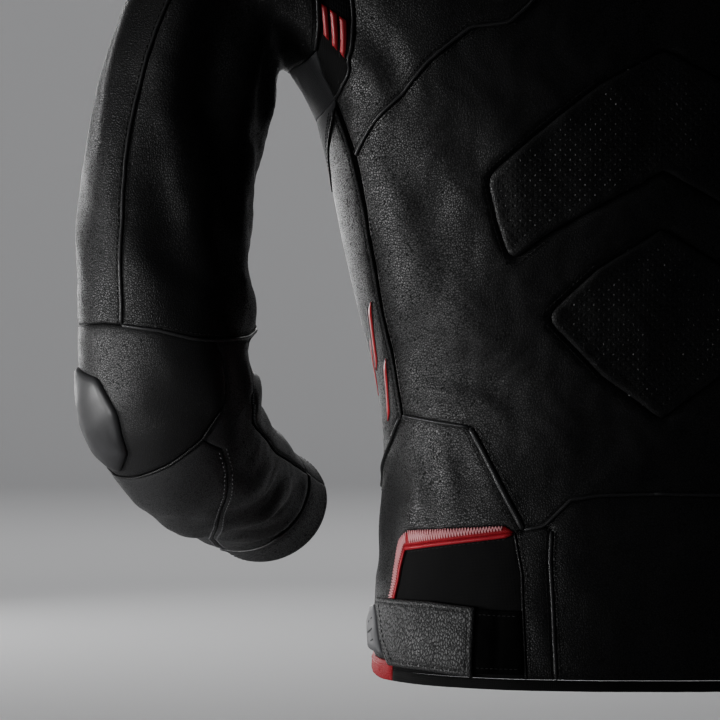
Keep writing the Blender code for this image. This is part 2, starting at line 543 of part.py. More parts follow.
def sleeve_pieces(hide, stretch, black_cloth, rubber):
    pair("shoulder_stretch", "sleeve", sleeve_top(20, ARMHOLE_TIP) + GUSSET_BACK[1:-1]
         + STRETCH_EDGE[::-1], black_cloth, wall=FABRIC)
    pair("underarm_gusset", "sleeve", GUSSET_BACK + GUSSET_EDGE[1:] + sleeve_top(217, ARMHOLE_TIP), stretch, wall=FABRIC)
    pair("upper_sleeve_back", "sleeve", STRETCH_EDGE[2:] + GUSSET_EDGE[1:7] + ELBOW_TOP[::-1], hide)
    pair("upper_sleeve_front", "sleeve",
         GUSSET_EDGE[6:] + sleeve_top(217, 380)
         + [(380, 0.008), (405, 0.012), (424, 0.0133)]
         + [(424, 0.289), (410, 0.289), (348, 0.296), (300, 0.300), (250, 0.300), (INNER_SEAM, 0.300)], hide)
    pair("elbow", "sleeve", [(-12, 0.296), (50, 0.289), (BACK_SEAM, 0.289), (90, 0.291), (113, 0.296)]
         + ELBOW_SIDE + ELBOW_LOW[1:-1] + ELBOW_FRONT[:2], hide, facet=(0.015, 0.015))
    pair("elbow_cup", "sleeve",
         [(-8, 0.330, 0.006), (8, 0.316, 0.010), (45, 0.316, 0.010), (60, 0.330, 0.008), (62, 0.350, 0.006),
          (50, 0.3625, 0.008), (8, 0.3625, 0.010), (-8, 0.348, 0.006)], rubber, wall=0.0032, lift=0.0042, facet=FINE_FACET)
    pair("forearm_back", "sleeve", ELBOW_LOW[1:] + [(-45, 0.350), (-95, 0.345), (-95, CUFF_SEAM)]
         + FOREARM_SEAM[:0:-1], hide)
    pair("forearm_inner", "sleeve", ELBOW_SIDE + ELBOW_LOW[1:2] + FOREARM_SEAM[1:] + [(130, CUFF_SEAM)]
         + ZIP_LINE[::-1] + ZIP_TOP + [(165, 0.300), (132, 0.298)], hide)
    pair("forearm_front", "sleeve", [(t + ZIP_WIDTH, a) for t, a in ZIP_LINE]
         + [(265, CUFF_SEAM), (265, 0.345), (315, 0.350), (348, 0.345), (342, 0.320), (348, 0.296)]
         + [(300, 0.300), (250, 0.300), (INNER_SEAM, 0.300)] + ZIP_TOP[::-1], hide)
    pair("cuff_zip", "sleeve", ZIP_LINE + [(t + ZIP_WIDTH, a) for t, a in ZIP_LINE[::-1]],
         black_cloth, wall=0.0012, lift=-0.0008)
    pair("cuff", "sleeve", [(CUFF_TURN, CUFF_SEAM), (CUFF_TURN + 360, CUFF_SEAM), (CUFF_TURN + 360, CUFF_END),
         (CUFF_TURN, CUFF_END)], hide)


def top_piece(hide):
    panel("collar", "collar", neck_edge(0, FRONT_NECK, 0.0) + [(FRONT_NECK, COLLAR_HEIGHT, 0.012)]
          + neck_edge(FRONT_NECK, 0, COLLAR_HEIGHT)[1:], hide, both=True, wall=0.0026)


# ---- the front zip's slider, near the top of the closed zip, and its pull tab
SLIDER_HEIGHT = -0.020  # on the body's pattern
SLIDER_WIDTH = 0.0104
SLIDER_LENGTH = 0.0125
SLIDER_THICK = 0.0036
SLIDER_LIFT = 0.0005  # over the tapes
BRIDGE_WIDTH = 0.0024  # the arch on the slider that the tab's eye goes round
BRIDGE_LENGTH = 0.0100
BRIDGE_RISE = 0.0036
BRIDGE_THICK = 0.0012
PIVOT_RISE = 0.0013  # the tab's end bar turns under the bridge, this far over the slider
TAB_WIDTH = 0.0072
TAB_LENGTH = 0.0240
TAB_THICK = 0.0014
TAB_LEAN = 3  # degrees towards the cloth
EYE_WIDTH = 0.0042
EYE_LENGTH = 0.0058
GRIP_HOLE = (0.0032, 0.0080)
GRIP_PLACE = 0.0155  # from the pivot to the middle of the hole in the tab's end


def front_frame(height):
    """A point on the zip's middle, the way out of the cloth, and the way down along it."""
    here = body(100.0, height)
    down = body(100.0, height - 0.001) - here
    down /= np.linalg.norm(down)
    out = np.cross(down, (1, 0, 0))
    return Vector(here), Vector(out), Vector(down)


def block(name, size, place, finish=None, bevel=0.0):
    mesh = bpy.data.meshes.new(name)
    x, y, z = (s / 2 for s in size)
    points = [(i * x, j * y, k * z) for i in (-1, 1) for j in (-1, 1) for k in (-1, 1)]
    sides = [(0, 1, 3, 2), (4, 6, 7, 5), (0, 4, 5, 1), (2, 3, 7, 6), (0, 2, 6, 4), (1, 5, 7, 3)]
    mesh.from_pydata(points, [], sides)
    thing = bpy.data.objects.new(name, mesh)
    bpy.context.collection.objects.link(thing)
    thing.matrix_world = place
    if finish:
        mesh.materials.append(finish)
    if bevel:
        edge = thing.modifiers.new("edges", "BEVEL")
        edge.width, edge.segments = bevel, 1
    return thing


def cut_or_join(thing, other, operation):
    other.hide_render = True
    other.display_type = "WIRE"
    step = thing.modifiers.new(operation.lower(), "BOOLEAN")
    step.object, step.operation, step.solver = other, operation, "EXACT"


def zip_hardware(metal):
    here, out, down = front_frame(SLIDER_HEIGHT)
    across = Vector((1, 0, 0))
    turn = Matrix((across, -down, out)).transposed().to_4x4()
    slider = block("zip_slider", (SLIDER_WIDTH, SLIDER_LENGTH, SLIDER_THICK),
                   Matrix.Translation(here + out * (SLIDER_LIFT + SLIDER_THICK / 2)) @ turn, metal, bevel=0.0007)
    top = here + out * (SLIDER_LIFT + SLIDER_THICK)
    bridge = block("bridge", (BRIDGE_WIDTH, BRIDGE_LENGTH, 2 * BRIDGE_RISE), Matrix.Translation(top) @ turn)
    under = block("bridge_cutter", (2 * BRIDGE_WIDTH, BRIDGE_LENGTH - 2 * BRIDGE_THICK, BRIDGE_RISE - BRIDGE_THICK),
                  Matrix.Translation(top + out * (BRIDGE_RISE - BRIDGE_THICK) / 2) @ turn)
    cut_or_join(bridge, under, "DIFFERENCE")
    cut_or_join(slider, bridge, "UNION")

    pivot = top + out * PIVOT_RISE
    lean = math.radians(TAB_LEAN)
    hang = down * math.cos(lean) - out * math.sin(lean)
    hang_turn = Matrix((across, -hang, hang.cross(across))).transposed().to_4x4()
    tab = block("zip_pull", (TAB_WIDTH, TAB_LENGTH, TAB_THICK), Matrix.Translation(pivot) @ hang_turn, metal)
    tab.data.transform(Matrix.Translation((0, (TAB_THICK - TAB_LENGTH) / 2, 0)))
    eye = block("eye_cutter", (EYE_WIDTH, EYE_LENGTH, 4 * TAB_THICK),
                Matrix.Translation(pivot + hang * (TAB_THICK + EYE_LENGTH) / 2) @ hang_turn)
    cut_or_join(tab, eye, "DIFFERENCE")
    hole = block("grip_cutter", (*GRIP_HOLE, 4 * TAB_THICK), Matrix.Translation(pivot + hang * GRIP_PLACE) @ hang_turn)
    cut_or_join(tab, hole, "DIFFERENCE")


def build():
    fresh_scene()
    hide = material("black_leather", (0.012, 0.012, 0.013), 0.5)
    red = material("red_leather", (0.45, 0.02, 0.03), 0.5)
    stretch = material("stretch_cloth", (0.10, 0.10, 0.11), 0.9)
    black_cloth = material("black_cloth", (0.01, 0.01, 0.01), 0.9)
    rubber = material("black_rubber", (0.03, 0.03, 0.03), 0.6)
    metal = material("black_metal", (0.05, 0.05, 0.05), 0.35, 1.0)
    body_pieces(hide, red, stretch, black_cloth, rubber)
    sleeve_pieces(hide, stretch, black_cloth, rubber)
    top_piece(hide)
    zip_hardware(metal)


build()
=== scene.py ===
"""The looks of a leather motorcycle racing jacket in its worn shape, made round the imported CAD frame."""

import math

import bpy
import numpy as np
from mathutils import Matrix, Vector
from mathutils.geometry import delaunay_2d_cdt


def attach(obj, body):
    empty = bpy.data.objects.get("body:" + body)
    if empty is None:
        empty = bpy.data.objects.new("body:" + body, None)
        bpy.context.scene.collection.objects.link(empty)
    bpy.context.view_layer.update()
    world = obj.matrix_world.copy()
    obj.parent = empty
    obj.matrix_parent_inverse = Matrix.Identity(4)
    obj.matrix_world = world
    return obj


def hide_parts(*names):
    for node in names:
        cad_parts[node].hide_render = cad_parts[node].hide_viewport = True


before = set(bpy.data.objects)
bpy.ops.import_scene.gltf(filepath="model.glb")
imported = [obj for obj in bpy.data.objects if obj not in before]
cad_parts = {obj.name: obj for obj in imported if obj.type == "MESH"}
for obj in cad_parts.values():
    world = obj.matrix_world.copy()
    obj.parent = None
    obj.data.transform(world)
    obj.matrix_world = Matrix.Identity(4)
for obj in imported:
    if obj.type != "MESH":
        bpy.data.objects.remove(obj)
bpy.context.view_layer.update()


# ======== Back yoke: one big piece of cowhide over the shoulders, from the neck to the curved seam across the
# shoulder blades. Like every other leather piece it is cut flat, its edges are folded under, and it is sewn
# to its neighbours over the body's shape. The shape of body, sleeve and collar is therefore set here.
LEATHER = 0.0018
FABRIC = 0.0014
SEAM_GAP = 0.0003
NECK = 0.012
HEM = -0.6225
HEM_BAND_TOP = -0.6155
SIDE = 50.0
FRONT_SEAM = 62.0

BODY_COLUMNS = ("height", "half_width", "back", "front", "side_rise", "front_rise", "squareness")
BODY_SECTIONS = (
    (-0.640, 0.177, 0.127, -0.116, 0.000, 0.000, 2.5),  # below the hem
    (-0.620, 0.177, 0.127, -0.116, 0.000, 0.000, 2.5),  # hem
    (-0.575, 0.175, 0.122, -0.115, 0.000, 0.000, 2.5),  # waist strap
    (-0.520, 0.172, 0.115, -0.114, 0.000, 0.000, 2.5),
    (-0.465, 0.170, 0.111, -0.115, 0.000, 0.000, 2.5),  # waist
    (-0.420, 0.178, 0.113, -0.118, 0.000, 0.000, 2.5),
    (-0.380, 0.188, 0.117, -0.121, 0.000, 0.000, 2.5),
    (-0.340, 0.197, 0.122, -0.124, 0.000, 0.000, 2.4),
    (-0.300, 0.205, 0.127, -0.126, 0.000, 0.000, 2.4),  # chest
    (-0.260, 0.215, 0.130, -0.127, 0.000, 0.000, 2.4),
    (-0.225, 0.226, 0.131, -0.126, 0.000, -0.005, 2.4),  # armpit
    (-0.150, 0.224, 0.128, -0.120, 0.000, -0.022, 2.4),
    (-0.075, 0.208, 0.112, -0.104, 0.020, -0.050, 2.3),  # shoulder tip
    (-0.030, 0.150, 0.092, -0.088, 0.004, -0.068, 2.2),
    (0.000, 0.100, 0.073, -0.078, -0.006, -0.078, 2.1),
    (0.012, 0.074, 0.060, -0.074, 0.000, -0.080, 2.0),  # neck
)
ARMHOLE_HEIGHT = -0.207
ARMHOLE_RISE = 0.137
ARMHOLE_DROP = 0.058
ARMHOLE_REACH = 16.2
ARMHOLE_SQUARENESS = 2.6
ARMHOLE_TIP = 143
ARMHOLE_BLEND = 0.10

SLEEVE_COLUMNS = ("along", "x", "y", "z", "aim_x", "aim_y", "aim_z", "across", "deep")
SLEEVE_SECTIONS = (
    (0.000, 0.211, 0.002, -0.155, 1.00, 0.00, -0.10, 0.105, 0.078),  # armhole
    (0.041, 0.252, 0.002, -0.158, 0.95, 0.00, -0.30, 0.0755, 0.070),
    (0.092, 0.279, 0.003, -0.201, 0.82, 0.00, -0.57, 0.0675, 0.065),
    (0.150, 0.300, 0.004, -0.255, 0.49, 0.00, -0.87, 0.0595, 0.061),
    (0.197, 0.309, 0.006, -0.300, 0.17, 0.00, -0.98, 0.0562, 0.059),
    (0.244, 0.311, 0.009, -0.348, 0.05, -0.03, -1.00, 0.0556, 0.058),
    (0.297, 0.311, 0.010, -0.400, 0.00, -0.15, -1.00, 0.0560, 0.058),
    (0.346, 0.307, 0.004, -0.448, -0.12, -0.45, -0.85, 0.0560, 0.056),  # elbow
    (0.394, 0.294, -0.030, -0.480, -0.30, -0.80, -0.52, 0.0530, 0.051),
    (0.449, 0.275, -0.078, -0.500, -0.34, -0.84, -0.42, 0.0480, 0.045),
    (0.503, 0.256, -0.125, -0.517, -0.36, -0.84, -0.36, 0.0445, 0.040),
    (0.526, 0.248, -0.145, -0.523, -0.38, -0.84, -0.32, 0.0445, 0.040),  # cuff
)
COLLAR_HEIGHT = 0.045
COLLAR_LEAN = 0.18


def column(sections, names, name, at):
    """One column of a section table, read at any place by a smooth curve through its rows."""
    table = np.array(sections)
    place, value = table[:, 0], table[:, names.index(name)]
    slope = np.gradient(value, place)
    at = np.clip(at, place[0], place[-1])
    i = np.clip(np.searchsorted(place, at) - 1, 0, len(place) - 2)
    step = place[i + 1] - place[i]
    t = (at - place[i]) / step
    rise = (3 - 2 * t) * t * t
    bend = step * t * (1 - t) * ((1 - t) * slope[i] - t * slope[i + 1])
    return (1 - rise) * value[i] + rise * value[i + 1] + bend


def power(value, exponent):
    """A power that keeps the sign, for rounded squares."""
    return np.sign(value) * np.abs(value) ** exponent


def direction(vectors):
    """Vectors brought to the length 1."""
    return vectors / np.linalg.norm(vectors, axis=-1, keepdims=True)


def body_ring(turn, height):
    """The body's section at a height: turn is 0 at the spine and half a circle at the zip."""
    wide, back, front, side_rise, front_rise, square = (
        column(BODY_SECTIONS, BODY_COLUMNS, name, height) for name in BODY_COLUMNS[1:]
    )
    s, c = np.sin(turn), np.cos(turn)
    y = np.where(c > 0, back, -front) * power(c, 2 / square)
    z = height + side_rise * s**2 + np.where(c < 0, front_rise * c**2, 0)
    return np.stack([wide * power(s, 2 / square), y, z], -1)


def body_girth(height):
    """Half the girth at each height, from the spine to the zip."""
    ring = body_ring(np.linspace(0, math.pi, 91), np.asarray(height, float)[..., None])
    return np.linalg.norm(np.diff(ring, axis=-2), axis=-1).sum(-1)


def body(round_, height):
    """The body at a share of the half girth, 0 at the spine and 100 at the zip; negative on the right."""
    round_, height = np.broadcast_arrays(np.asarray(round_, float), np.asarray(height, float))
    turns = np.linspace(0, math.pi, 91)
    steps = np.linalg.norm(np.diff(body_ring(turns, height[..., None]), axis=-2), axis=-1)
    arc = np.concatenate([np.zeros(height.shape + (1,)), np.cumsum(steps, -1)], -1)
    reach = np.abs(round_) / 100 * arc[..., -1]
    i = np.clip((arc < reach[..., None]).sum(-1) - 1, 0, len(turns) - 2)
    low = np.take_along_axis(arc, i[..., None], -1)[..., 0]
    step = np.take_along_axis(steps, i[..., None], -1)[..., 0]
    point = body_ring(turns[i] + (reach - low) / step * (turns[1] - turns[0]), height)
    point[..., 0] *= np.where(round_ < 0, -1, 1)
    return point


def armhole(turn):
    """The armhole seam on the body's pattern, at a turn of the sleeve."""
    s, c = np.sin(np.radians(turn)), np.cos(np.radians(turn))
    height = ARMHOLE_HEIGHT + np.where(c > 0, ARMHOLE_RISE, ARMHOLE_DROP) * power(c, 2 / ARMHOLE_SQUARENESS)
    return SIDE - ARMHOLE_REACH * power(s, 2 / ARMHOLE_SQUARENESS), height


def sleeve_ring(turn, along):
    """The left sleeve's round section, before the armhole's shape is blended in."""
    x, y, z, aim_x, aim_y, aim_z, across, deep = (
        column(SLEEVE_SECTIONS, SLEEVE_COLUMNS, name, along)[..., None] for name in SLEEVE_COLUMNS[1:]
    )
    aim = direction(np.concatenate([aim_x, aim_y, aim_z], -1))
    up = np.clip(1 - along / ARMHOLE_BLEND, 0, 1)[..., None]
    outer = np.array([1.0, 0, 0]) + up * np.array([0, 0, 1.0])
    outer = direction(outer - (outer * aim).sum(-1, keepdims=True) * aim)
    back = np.cross(outer, aim)
    angle = np.radians(turn)[..., None]
    return np.concatenate([x, y, z], -1) + across * np.cos(angle) * outer + deep * np.sin(angle) * back


def sleeve(turn, along):
    """The left sleeve: turn in degrees, 0 outer, 90 back, 180 inner; along runs down from the armhole."""
    turn, along = np.broadcast_arrays(np.asarray(turn, float), np.asarray(along, float))
    fade = np.clip(1 - along / ARMHOLE_BLEND, 0, 1)[..., None] ** 2
    return sleeve_ring(turn, along) + fade * (body(*armhole(turn)) - sleeve_ring(turn, np.zeros_like(along)))


def sleeve_girth(along):
    across, deep = (column(SLEEVE_SECTIONS, SLEEVE_COLUMNS, name, along) for name in ("across", "deep"))
    return math.pi * (across + deep)


def collar(round_, up):
    """A standing band on the neck seam that leans in a little."""
    base = body(round_, NECK)
    inward = direction(-base * np.array([1, 1, 0]))
    return base + np.asarray(up, float)[..., None] * (np.array([0, 0, 1.0]) + COLLAR_LEAN * inward)


# Each surface with the length on the cloth of one unit of its first coordinate, at a place on its second
SURFACES = {
    "body": (body, lambda height: body_girth(height) / 100),
    "sleeve": (sleeve, lambda along: sleeve_girth(along) / 360),
    "collar": (collar, lambda up: body_girth(np.full_like(np.asarray(up, float), NECK)) / 100),
}

# Creases that wear has put in. A row holds three places on the pattern that a crease runs through, its half
# width and its height. Lengths are in mm, and a height under 0 is a dent.
BODY_CREASES = [
    (30, -300, 27, -322, 25, -350, 16, -2.2),
    (34, -292, 31, -330, 30, -372, 12, 1.4),
    (24, -270, 22, -300, 22, -330, 20, -1.6),
    (28, -375, 21, -398, 15, -408, 16, 1.2),
    (31, -400, 24, -425, 17, -440, 13, -1.4),
    (36, -430, 30, -444, 24, -446, 10, 1.2),
    (33, -448, 26, -452, 20, -470, 8, -1.2),
    (33, -468, 31, -495, 30, -516, 7.5, -0.9),
    (30, -466, 28.4, -492, 27, -512, 6, 0.8),
    (27, -474, 25, -496, 24, -514, 7.5, -0.7),
    (36, -470, 34.5, -492, 34, -512, 6, 0.9),
    (35, -215, 32, -240, 31, -262, 9, 1.6),
    (36.5, -232, 34.5, -240, 33, -252, 4.5, -1.4),
    (37, -246, 35.5, -253, 34.2, -264, 4, 1.2),
    (37.2, -222, 35.4, -229, 33.6, -236, 4.5, 1.2),
    (33, -205, 29.5, -228, 29, -250, 10, -1.5),
    (12, -100, 20, -120, 28, -150, 22, -1.6),
    (8, -130, 16, -155, 26, -190, 18, 1.4),
    (3, -470, 9, -482, 15, -500, 12, -1.2),
    (-3, -478, -9, -470, -14, -490, 12, -1.2),
    (0, -520, 6, -545, 11, -560, 16, -1),
    (40, -448, 45, -458, 50, -466, 9, 0.7),
    (44, -540, 50, -550, 57, -548, 10, -1),
    (60, -210, 68, -225, 78, -225, 14, -3.5),
    (62, -250, 72, -262, 84, -258, 16, 3),
    (64, -420, 74, -440, 88, -445, 15, -3.2),
    (66, -455, 78, -475, 92, -470, 13, 2.8),
    (63, -520, 72, -535, 85, -528, 13, -2.6),
    (70, -130, 76, -150, 86, -160, 18, -2.6),
    (-24, -268, -22, -300, -23, -335, 18, -1.9),
    (-31, -305, -28, -330, -27, -362, 14, 1.5),
    (-33, -395, -25, -418, -17, -430, 15, -1.5),
    (-29, -372, -20, -392, -14, -400, 14, 1.1),
    (-32, -466, -30, -490, -30, -514, 7, -1.4),
    (-28, -470, -26, -495, -25, -512, 6, 1.1),
    (-10, -100, -19, -125, -27, -145, 22, -1.6),
    (-34, -210, -31, -235, -30, -258, 10, 1.6),
    (-40, -430, -46, -446, -52, -450, 10, -1.4),
    (-61, -205, -70, -222, -80, -218, 14, -3.5),
    (-64, -245, -73, -258, -86, -262, 16, 2.8),
    (-63, -430, -76, -446, -90, -438, 15, -3.2),
    (-65, -470, -77, -480, -91, -488, 13, 2.6),
    (-66, -540, -76, -552, -88, -546, 13, -2.4),
]
SLEEVE_CREASES = [
    (120, 45, 128, 85, 140, 125, 13, 3.6),
    (96, 60, 104, 110, 116, 160, 14, -3.6),
    (78, 75, 86, 130, 97, 185, 14, 3.4),
    (150, 60, 158, 100, 166, 135, 11, -3.4),
    (110, 165, 118, 200, 130, 235, 12, 3),
    (86, 185, 94, 225, 106, 262, 13, -2.8),
    (130, 185, 140, 220, 150, 250, 12, -2.8),
    (150, 155, 160, 185, 172, 205, 10, 2.6),
    (70, 245, 90, 262, 112, 270, 10, 1.8),
    (176, 235, 196, 262, 218, 275, 11, -3.6),
    (172, 268, 200, 290, 230, 296, 10, 3.6),
    (172, 310, 204, 318, 240, 316, 9, -3.6),
    (176, 345, 208, 345, 250, 340, 9, 3.4),
    (190, 370, 214, 372, 250, 366, 10, -3),
    (140, 302, 150, 322, 156, 345, 8, -2.2),
    (78, 305, 92, 322, 112, 330, 10, -1.4),
    (60, 375, 86, 372, 112, 365, 10, 2),
    (54, 400, 78, 398, 100, 392, 10, -2),
    (40, 425, 62, 424, 84, 416, 10, 2),
    (30, 450, 52, 450, 72, 444, 9, -1.8),
    (128, 384, 142, 398, 158, 404, 8.5, 1.6),
    (120, 402, 138, 418, 158, 424, 8, -1.6),
    (110, 420, 132, 436, 158, 442, 8, 1.5),
    (104, 438, 130, 452, 164, 458, 7.5, -1.3),
    (98, 456, 128, 468, 168, 473, 7, 1.2),
    (94, 470, 128, 480, 172, 483, 5.5, -1),
    (134, 408, 146, 416, 166, 414, 3.4, 0.9),
    (124, 424, 141, 433, 160, 430, 3.2, -0.8),
    (116, 431, 134, 443, 150, 449, 3.2, 0.9),
    (118, 447, 138, 459, 161, 463, 3.4, 1),
    (108, 450, 122, 461, 139, 467, 3, -0.8),
    (103, 463, 126, 474, 150, 478, 3.2, 0.9),
    (92, 462, 110, 473, 124, 479, 3, -0.7),
    (136, 474, 156, 479, 174, 477, 3, 0.8),
    (92, 408, 99, 400, 106, 389, 4.5, 0.9),
    (82, 428, 90, 416, 97, 405, 4.5, -0.8),
    (58, 392, 78, 388, 96, 380, 4.5, 0.8),
    (44, 438, 60, 434, 76, 428, 4.5, 0.8),
    (300, 50, 306, 100, 300, 150, 14, -3.6),
    (330, 60, 336, 115, 330, 170, 14, 3.2),
    (270, 90, 278, 140, 270, 190, 13, 3.2),
    (250, 200, 270, 225, 292, 232, 12, -3.6),
    (246, 250, 272, 268, 300, 268, 11, 3.6),
    (10, 120, 18, 165, 30, 205, 15, -2.6),
    (-20, 200, -4, 235, 20, 250, 14, 2.4),
    (230, 400, 262, 402, 296, 394, 10, 2.8),
    (226, 430, 262, 434, 300, 424, 10, -2.8),
    (222, 458, 262, 464, 300, 455, 9, 2.2),
]


def wrapped(surface, difference):
    """The shorter way round between two places on a surface's first coordinate."""
    return (difference + 180) % 360 - 180 if surface == "sleeve" else difference


FLANK_LEAN = 0.3  # how much steeper one flank of a crease is
RIM_SHARE, RIM_PLACE, RIM_WIDTH = 0.35, 1.9, 0.8  # beside a crease the leather gives the other way
CREASE_ENDS = 0.35  # a crease's height at its ends, as a share of the height at its middle
OTHER_SIDE = (9, 0.008)  # the creases on the right lie a little elsewhere
SLOW_WAVE = 0.0006
SMALL_WAVE = 0.0003
COLLAR_WAVE = 0.0008
SMOOTH_CUFF, CUFF_FADE, CUFF_CALM = 0.475, 0.015, 0.75  # where the waves fade out at the cuff, and how far
SMOOTH_SIDE, SIDE_REACH, SIDE_CALM, SIDE_END = 49, 11, 0.92, -0.47  # the same on the side strip


def creased(surface, first, second, mirrored):
    """How far the creases and the slow waves of worn leather lift the surface at each place."""
    unit = SURFACES[surface][1](second)
    if surface == "collar":
        return COLLAR_WAVE * np.sin(first / 9) * np.clip(second / COLLAR_HEIGHT, 0, 1)
    slide, shorter = OTHER_SIDE if mirrored else (0, 0)
    total = np.zeros_like(first)
    for *route, half_width, height in BODY_CREASES if surface == "body" else SLEEVE_CREASES:
        points = [(a + slide, b / 1000 + shorter) for a, b in zip(route[::2], route[1::2])]
        nearest, along = np.full_like(first, 9.0), np.zeros_like(first)
        for k, (start, end) in enumerate(zip(points, points[1:])):
            run_a = wrapped(surface, end[0] - start[0]) * float(SURFACES[surface][1](np.array(start[1])))
            run_b = end[1] - start[1]
            gap_a, gap_b = wrapped(surface, first - start[0]) * unit, second - start[1]
            share = np.clip((gap_a * run_a + gap_b * run_b) / (run_a**2 + run_b**2), 0, 1)
            off_a, off_b = gap_a - share * run_a, gap_b - share * run_b
            distance = np.hypot(off_a, off_b) * (1 + FLANK_LEAN * np.sign(off_a * run_b - off_b * run_a))
            closer = distance < nearest
            nearest = np.where(closer, distance, nearest)
            along = np.where(closer, (k + share) / (len(points) - 1), along)
        off = nearest / half_width * 1000
        shape = np.exp(-(off**2)) - RIM_SHARE * np.exp(-(((off - RIM_PLACE) / RIM_WIDTH) ** 2))
        fade = CREASE_ENDS + (1 - CREASE_ENDS) * np.sin(math.pi * np.clip(along, 0.02, 0.98))
        total += height / 1000 * shape * fade
    b = second
    if surface == "sleeve":
        a, c = 0.05 * np.sin(np.radians(first)), 0.05 * np.cos(np.radians(first))
        loose = 1 - np.clip((second - SMOOTH_CUFF) / CUFF_FADE, 0, 1) * CUFF_CALM
    else:
        a, c = first * unit, 0 * first
        beside = (np.abs(first) - SMOOTH_SIDE) / SIDE_REACH
        loose = 1 - SIDE_CALM * np.exp(-(beside**4)) * (second > SIDE_END)
    slow = np.sin(a * 71 + 2.1 * np.sin(b * 37)) * np.sin(b * 58 + 1.3 + 1.7 * np.sin(a * 43 + c * 60))
    small = np.sin(a * 190 + 3 * np.sin(b * 91 + 0.7)) * np.sin(b * 160 + 2 * np.sin(a * 117 + 1.9))
    return total + loose * (SLOW_WAVE * slow + SMALL_WAVE * small)


def laid(surface, first, second, mirrored):
    """Places on a surface with its creases, and the way out of the cloth there."""
    shape = SURFACES[surface][0]
    nudge = 1e-4
    turn = nudge / SURFACES[surface][1](second)
    across = shape(first + turn, second) - shape(first - turn, second)
    along = shape(first, second + nudge) - shape(first, second - nudge)
    out = direction(np.cross(along, across))
    place = shape(first, second) + creased(surface, first, second, mirrored)[..., None] * out
    return place, out


def rounded(points, radii):
    """A closed outline with its corners rounded; a radius of 0 leaves a corner sharp."""
    result = []
    for i, (corner, radius) in enumerate(zip(points, radii)):
        if not radius:
            result.append(corner)
            continue
        before, after = points[i - 1] - corner, points[(i + 1) % len(points)] - corner
        room = min(np.linalg.norm(before), np.linalg.norm(after))
        before, after = direction(before), direction(after)
        half = math.acos(np.clip(before @ after, -1, 1)) / 2
        reach = min(radius / math.tan(half), 0.45 * room)
        start, end = corner + reach * before, corner + reach * after
        for t in (0, 0.25, 0.5, 0.75, 1):
            result.append((1 - t) ** 2 * start + 2 * t * (1 - t) * corner + t**2 * end)
    return np.array(result)


def divided(points, step):
    """A closed outline with extra points on its long edges."""
    result = []
    for start, end in zip(points, np.roll(points, -1, axis=0)):
        count = max(1, math.ceil(np.linalg.norm(end - start) / step - 0.2))
        result += [start + (end - start) * k / count for k in range(count)]
    return np.array(result)


def area(points):
    x, y = points.T
    return 0.5 * float(np.sum(x * np.roll(y, -1) - np.roll(x, -1) * y))


def inset(points, distance):
    """A closed outline, running counterclockwise, moved in by the distance."""
    edge = direction(np.roll(points, -1, axis=0) - points)
    inward = np.stack([-edge[:, 1], edge[:, 0]], 1)
    before = np.roll(inward, 1, axis=0)
    miter = inward + before
    miter /= np.maximum(1 + (inward * before).sum(1), 0.3)[:, None]
    return points + distance * miter


def to_edge(points, outline):
    """How far each point lies inside an outline; under 0 outside it."""
    start, end = outline, np.roll(outline, -1, axis=0)
    distance, within = [], []
    rise = np.where(end[:, 1] == start[:, 1], 1e-12, end[:, 1] - start[:, 1])
    along = end - start
    for some in np.array_split(points, max(1, len(points) // 4000)):
        x, y = some[:, :1], some[:, 1:]
        crosses = (start[:, 1] > y) != (end[:, 1] > y)
        left = x < start[:, 0] + (y - start[:, 1]) * (end[:, 0] - start[:, 0]) / rise
        within.append((crosses & left).sum(1) % 2 == 1)
        share = ((some[:, None] - start) * along).sum(2) / np.maximum((along**2).sum(1), 1e-18)
        nearest = start + np.clip(share, 0, 1)[..., None] * along
        distance.append(np.linalg.norm(some[:, None] - nearest, axis=2).min(1))
    return np.concatenate(distance) * np.where(np.concatenate(within), 1, -1)


def flat_cut(outline, middle, unit, both, margin, step):
    """An outline in metres on the flat cloth, moved in by the margin."""
    outline = [p for i, p in enumerate(outline) if abs(p[0] - outline[i - 1][0]) > 0.02
               or abs(p[1] - outline[i - 1][1]) > 2e-5]
    corners = np.array([corner[:2] for corner in outline], float) - (middle, 0)
    radii = [corner[2] if len(corner) > 2 else 0 for corner in outline]
    if both:
        mirror = [i for i in reversed(range(len(corners))) if corners[i, 0] != 0]
        radii += [radii[i] for i in mirror]
        corners = np.concatenate([corners, corners[mirror] * (-1, 1)])
    flat = np.stack([corners[:, 0] * unit(corners[:, 1]), corners[:, 1]], 1)
    if area(flat) < 0:
        flat, radii = flat[::-1], radii[::-1]
    flat = rounded(flat, radii)
    scale = float(np.mean(unit(flat[:, 1])))
    pattern = np.stack([flat[:, 0] / unit(flat[:, 1]) * scale, flat[:, 1]], 1)
    pattern = divided(pattern, step)
    flat = np.stack([pattern[:, 0] / scale * unit(pattern[:, 1]), pattern[:, 1]], 1)
    return inset(flat, margin)


ROLL_RINGS = (0.0011, 0.0028)  # rings of points that round a piece's folded edge


def triangulated(points, edges):
    """Flat points and the triangles between them, with the edges kept."""
    found, _, triangles, *_ = delaunay_2d_cdt([Vector(p) for p in points], edges, [], 1, 1e-7)
    return np.array([tuple(p) for p in found]), np.array(triangles)


def ring_edges(count, first=0):
    return [(first + i, first + (i + 1) % count) for i in range(count)]


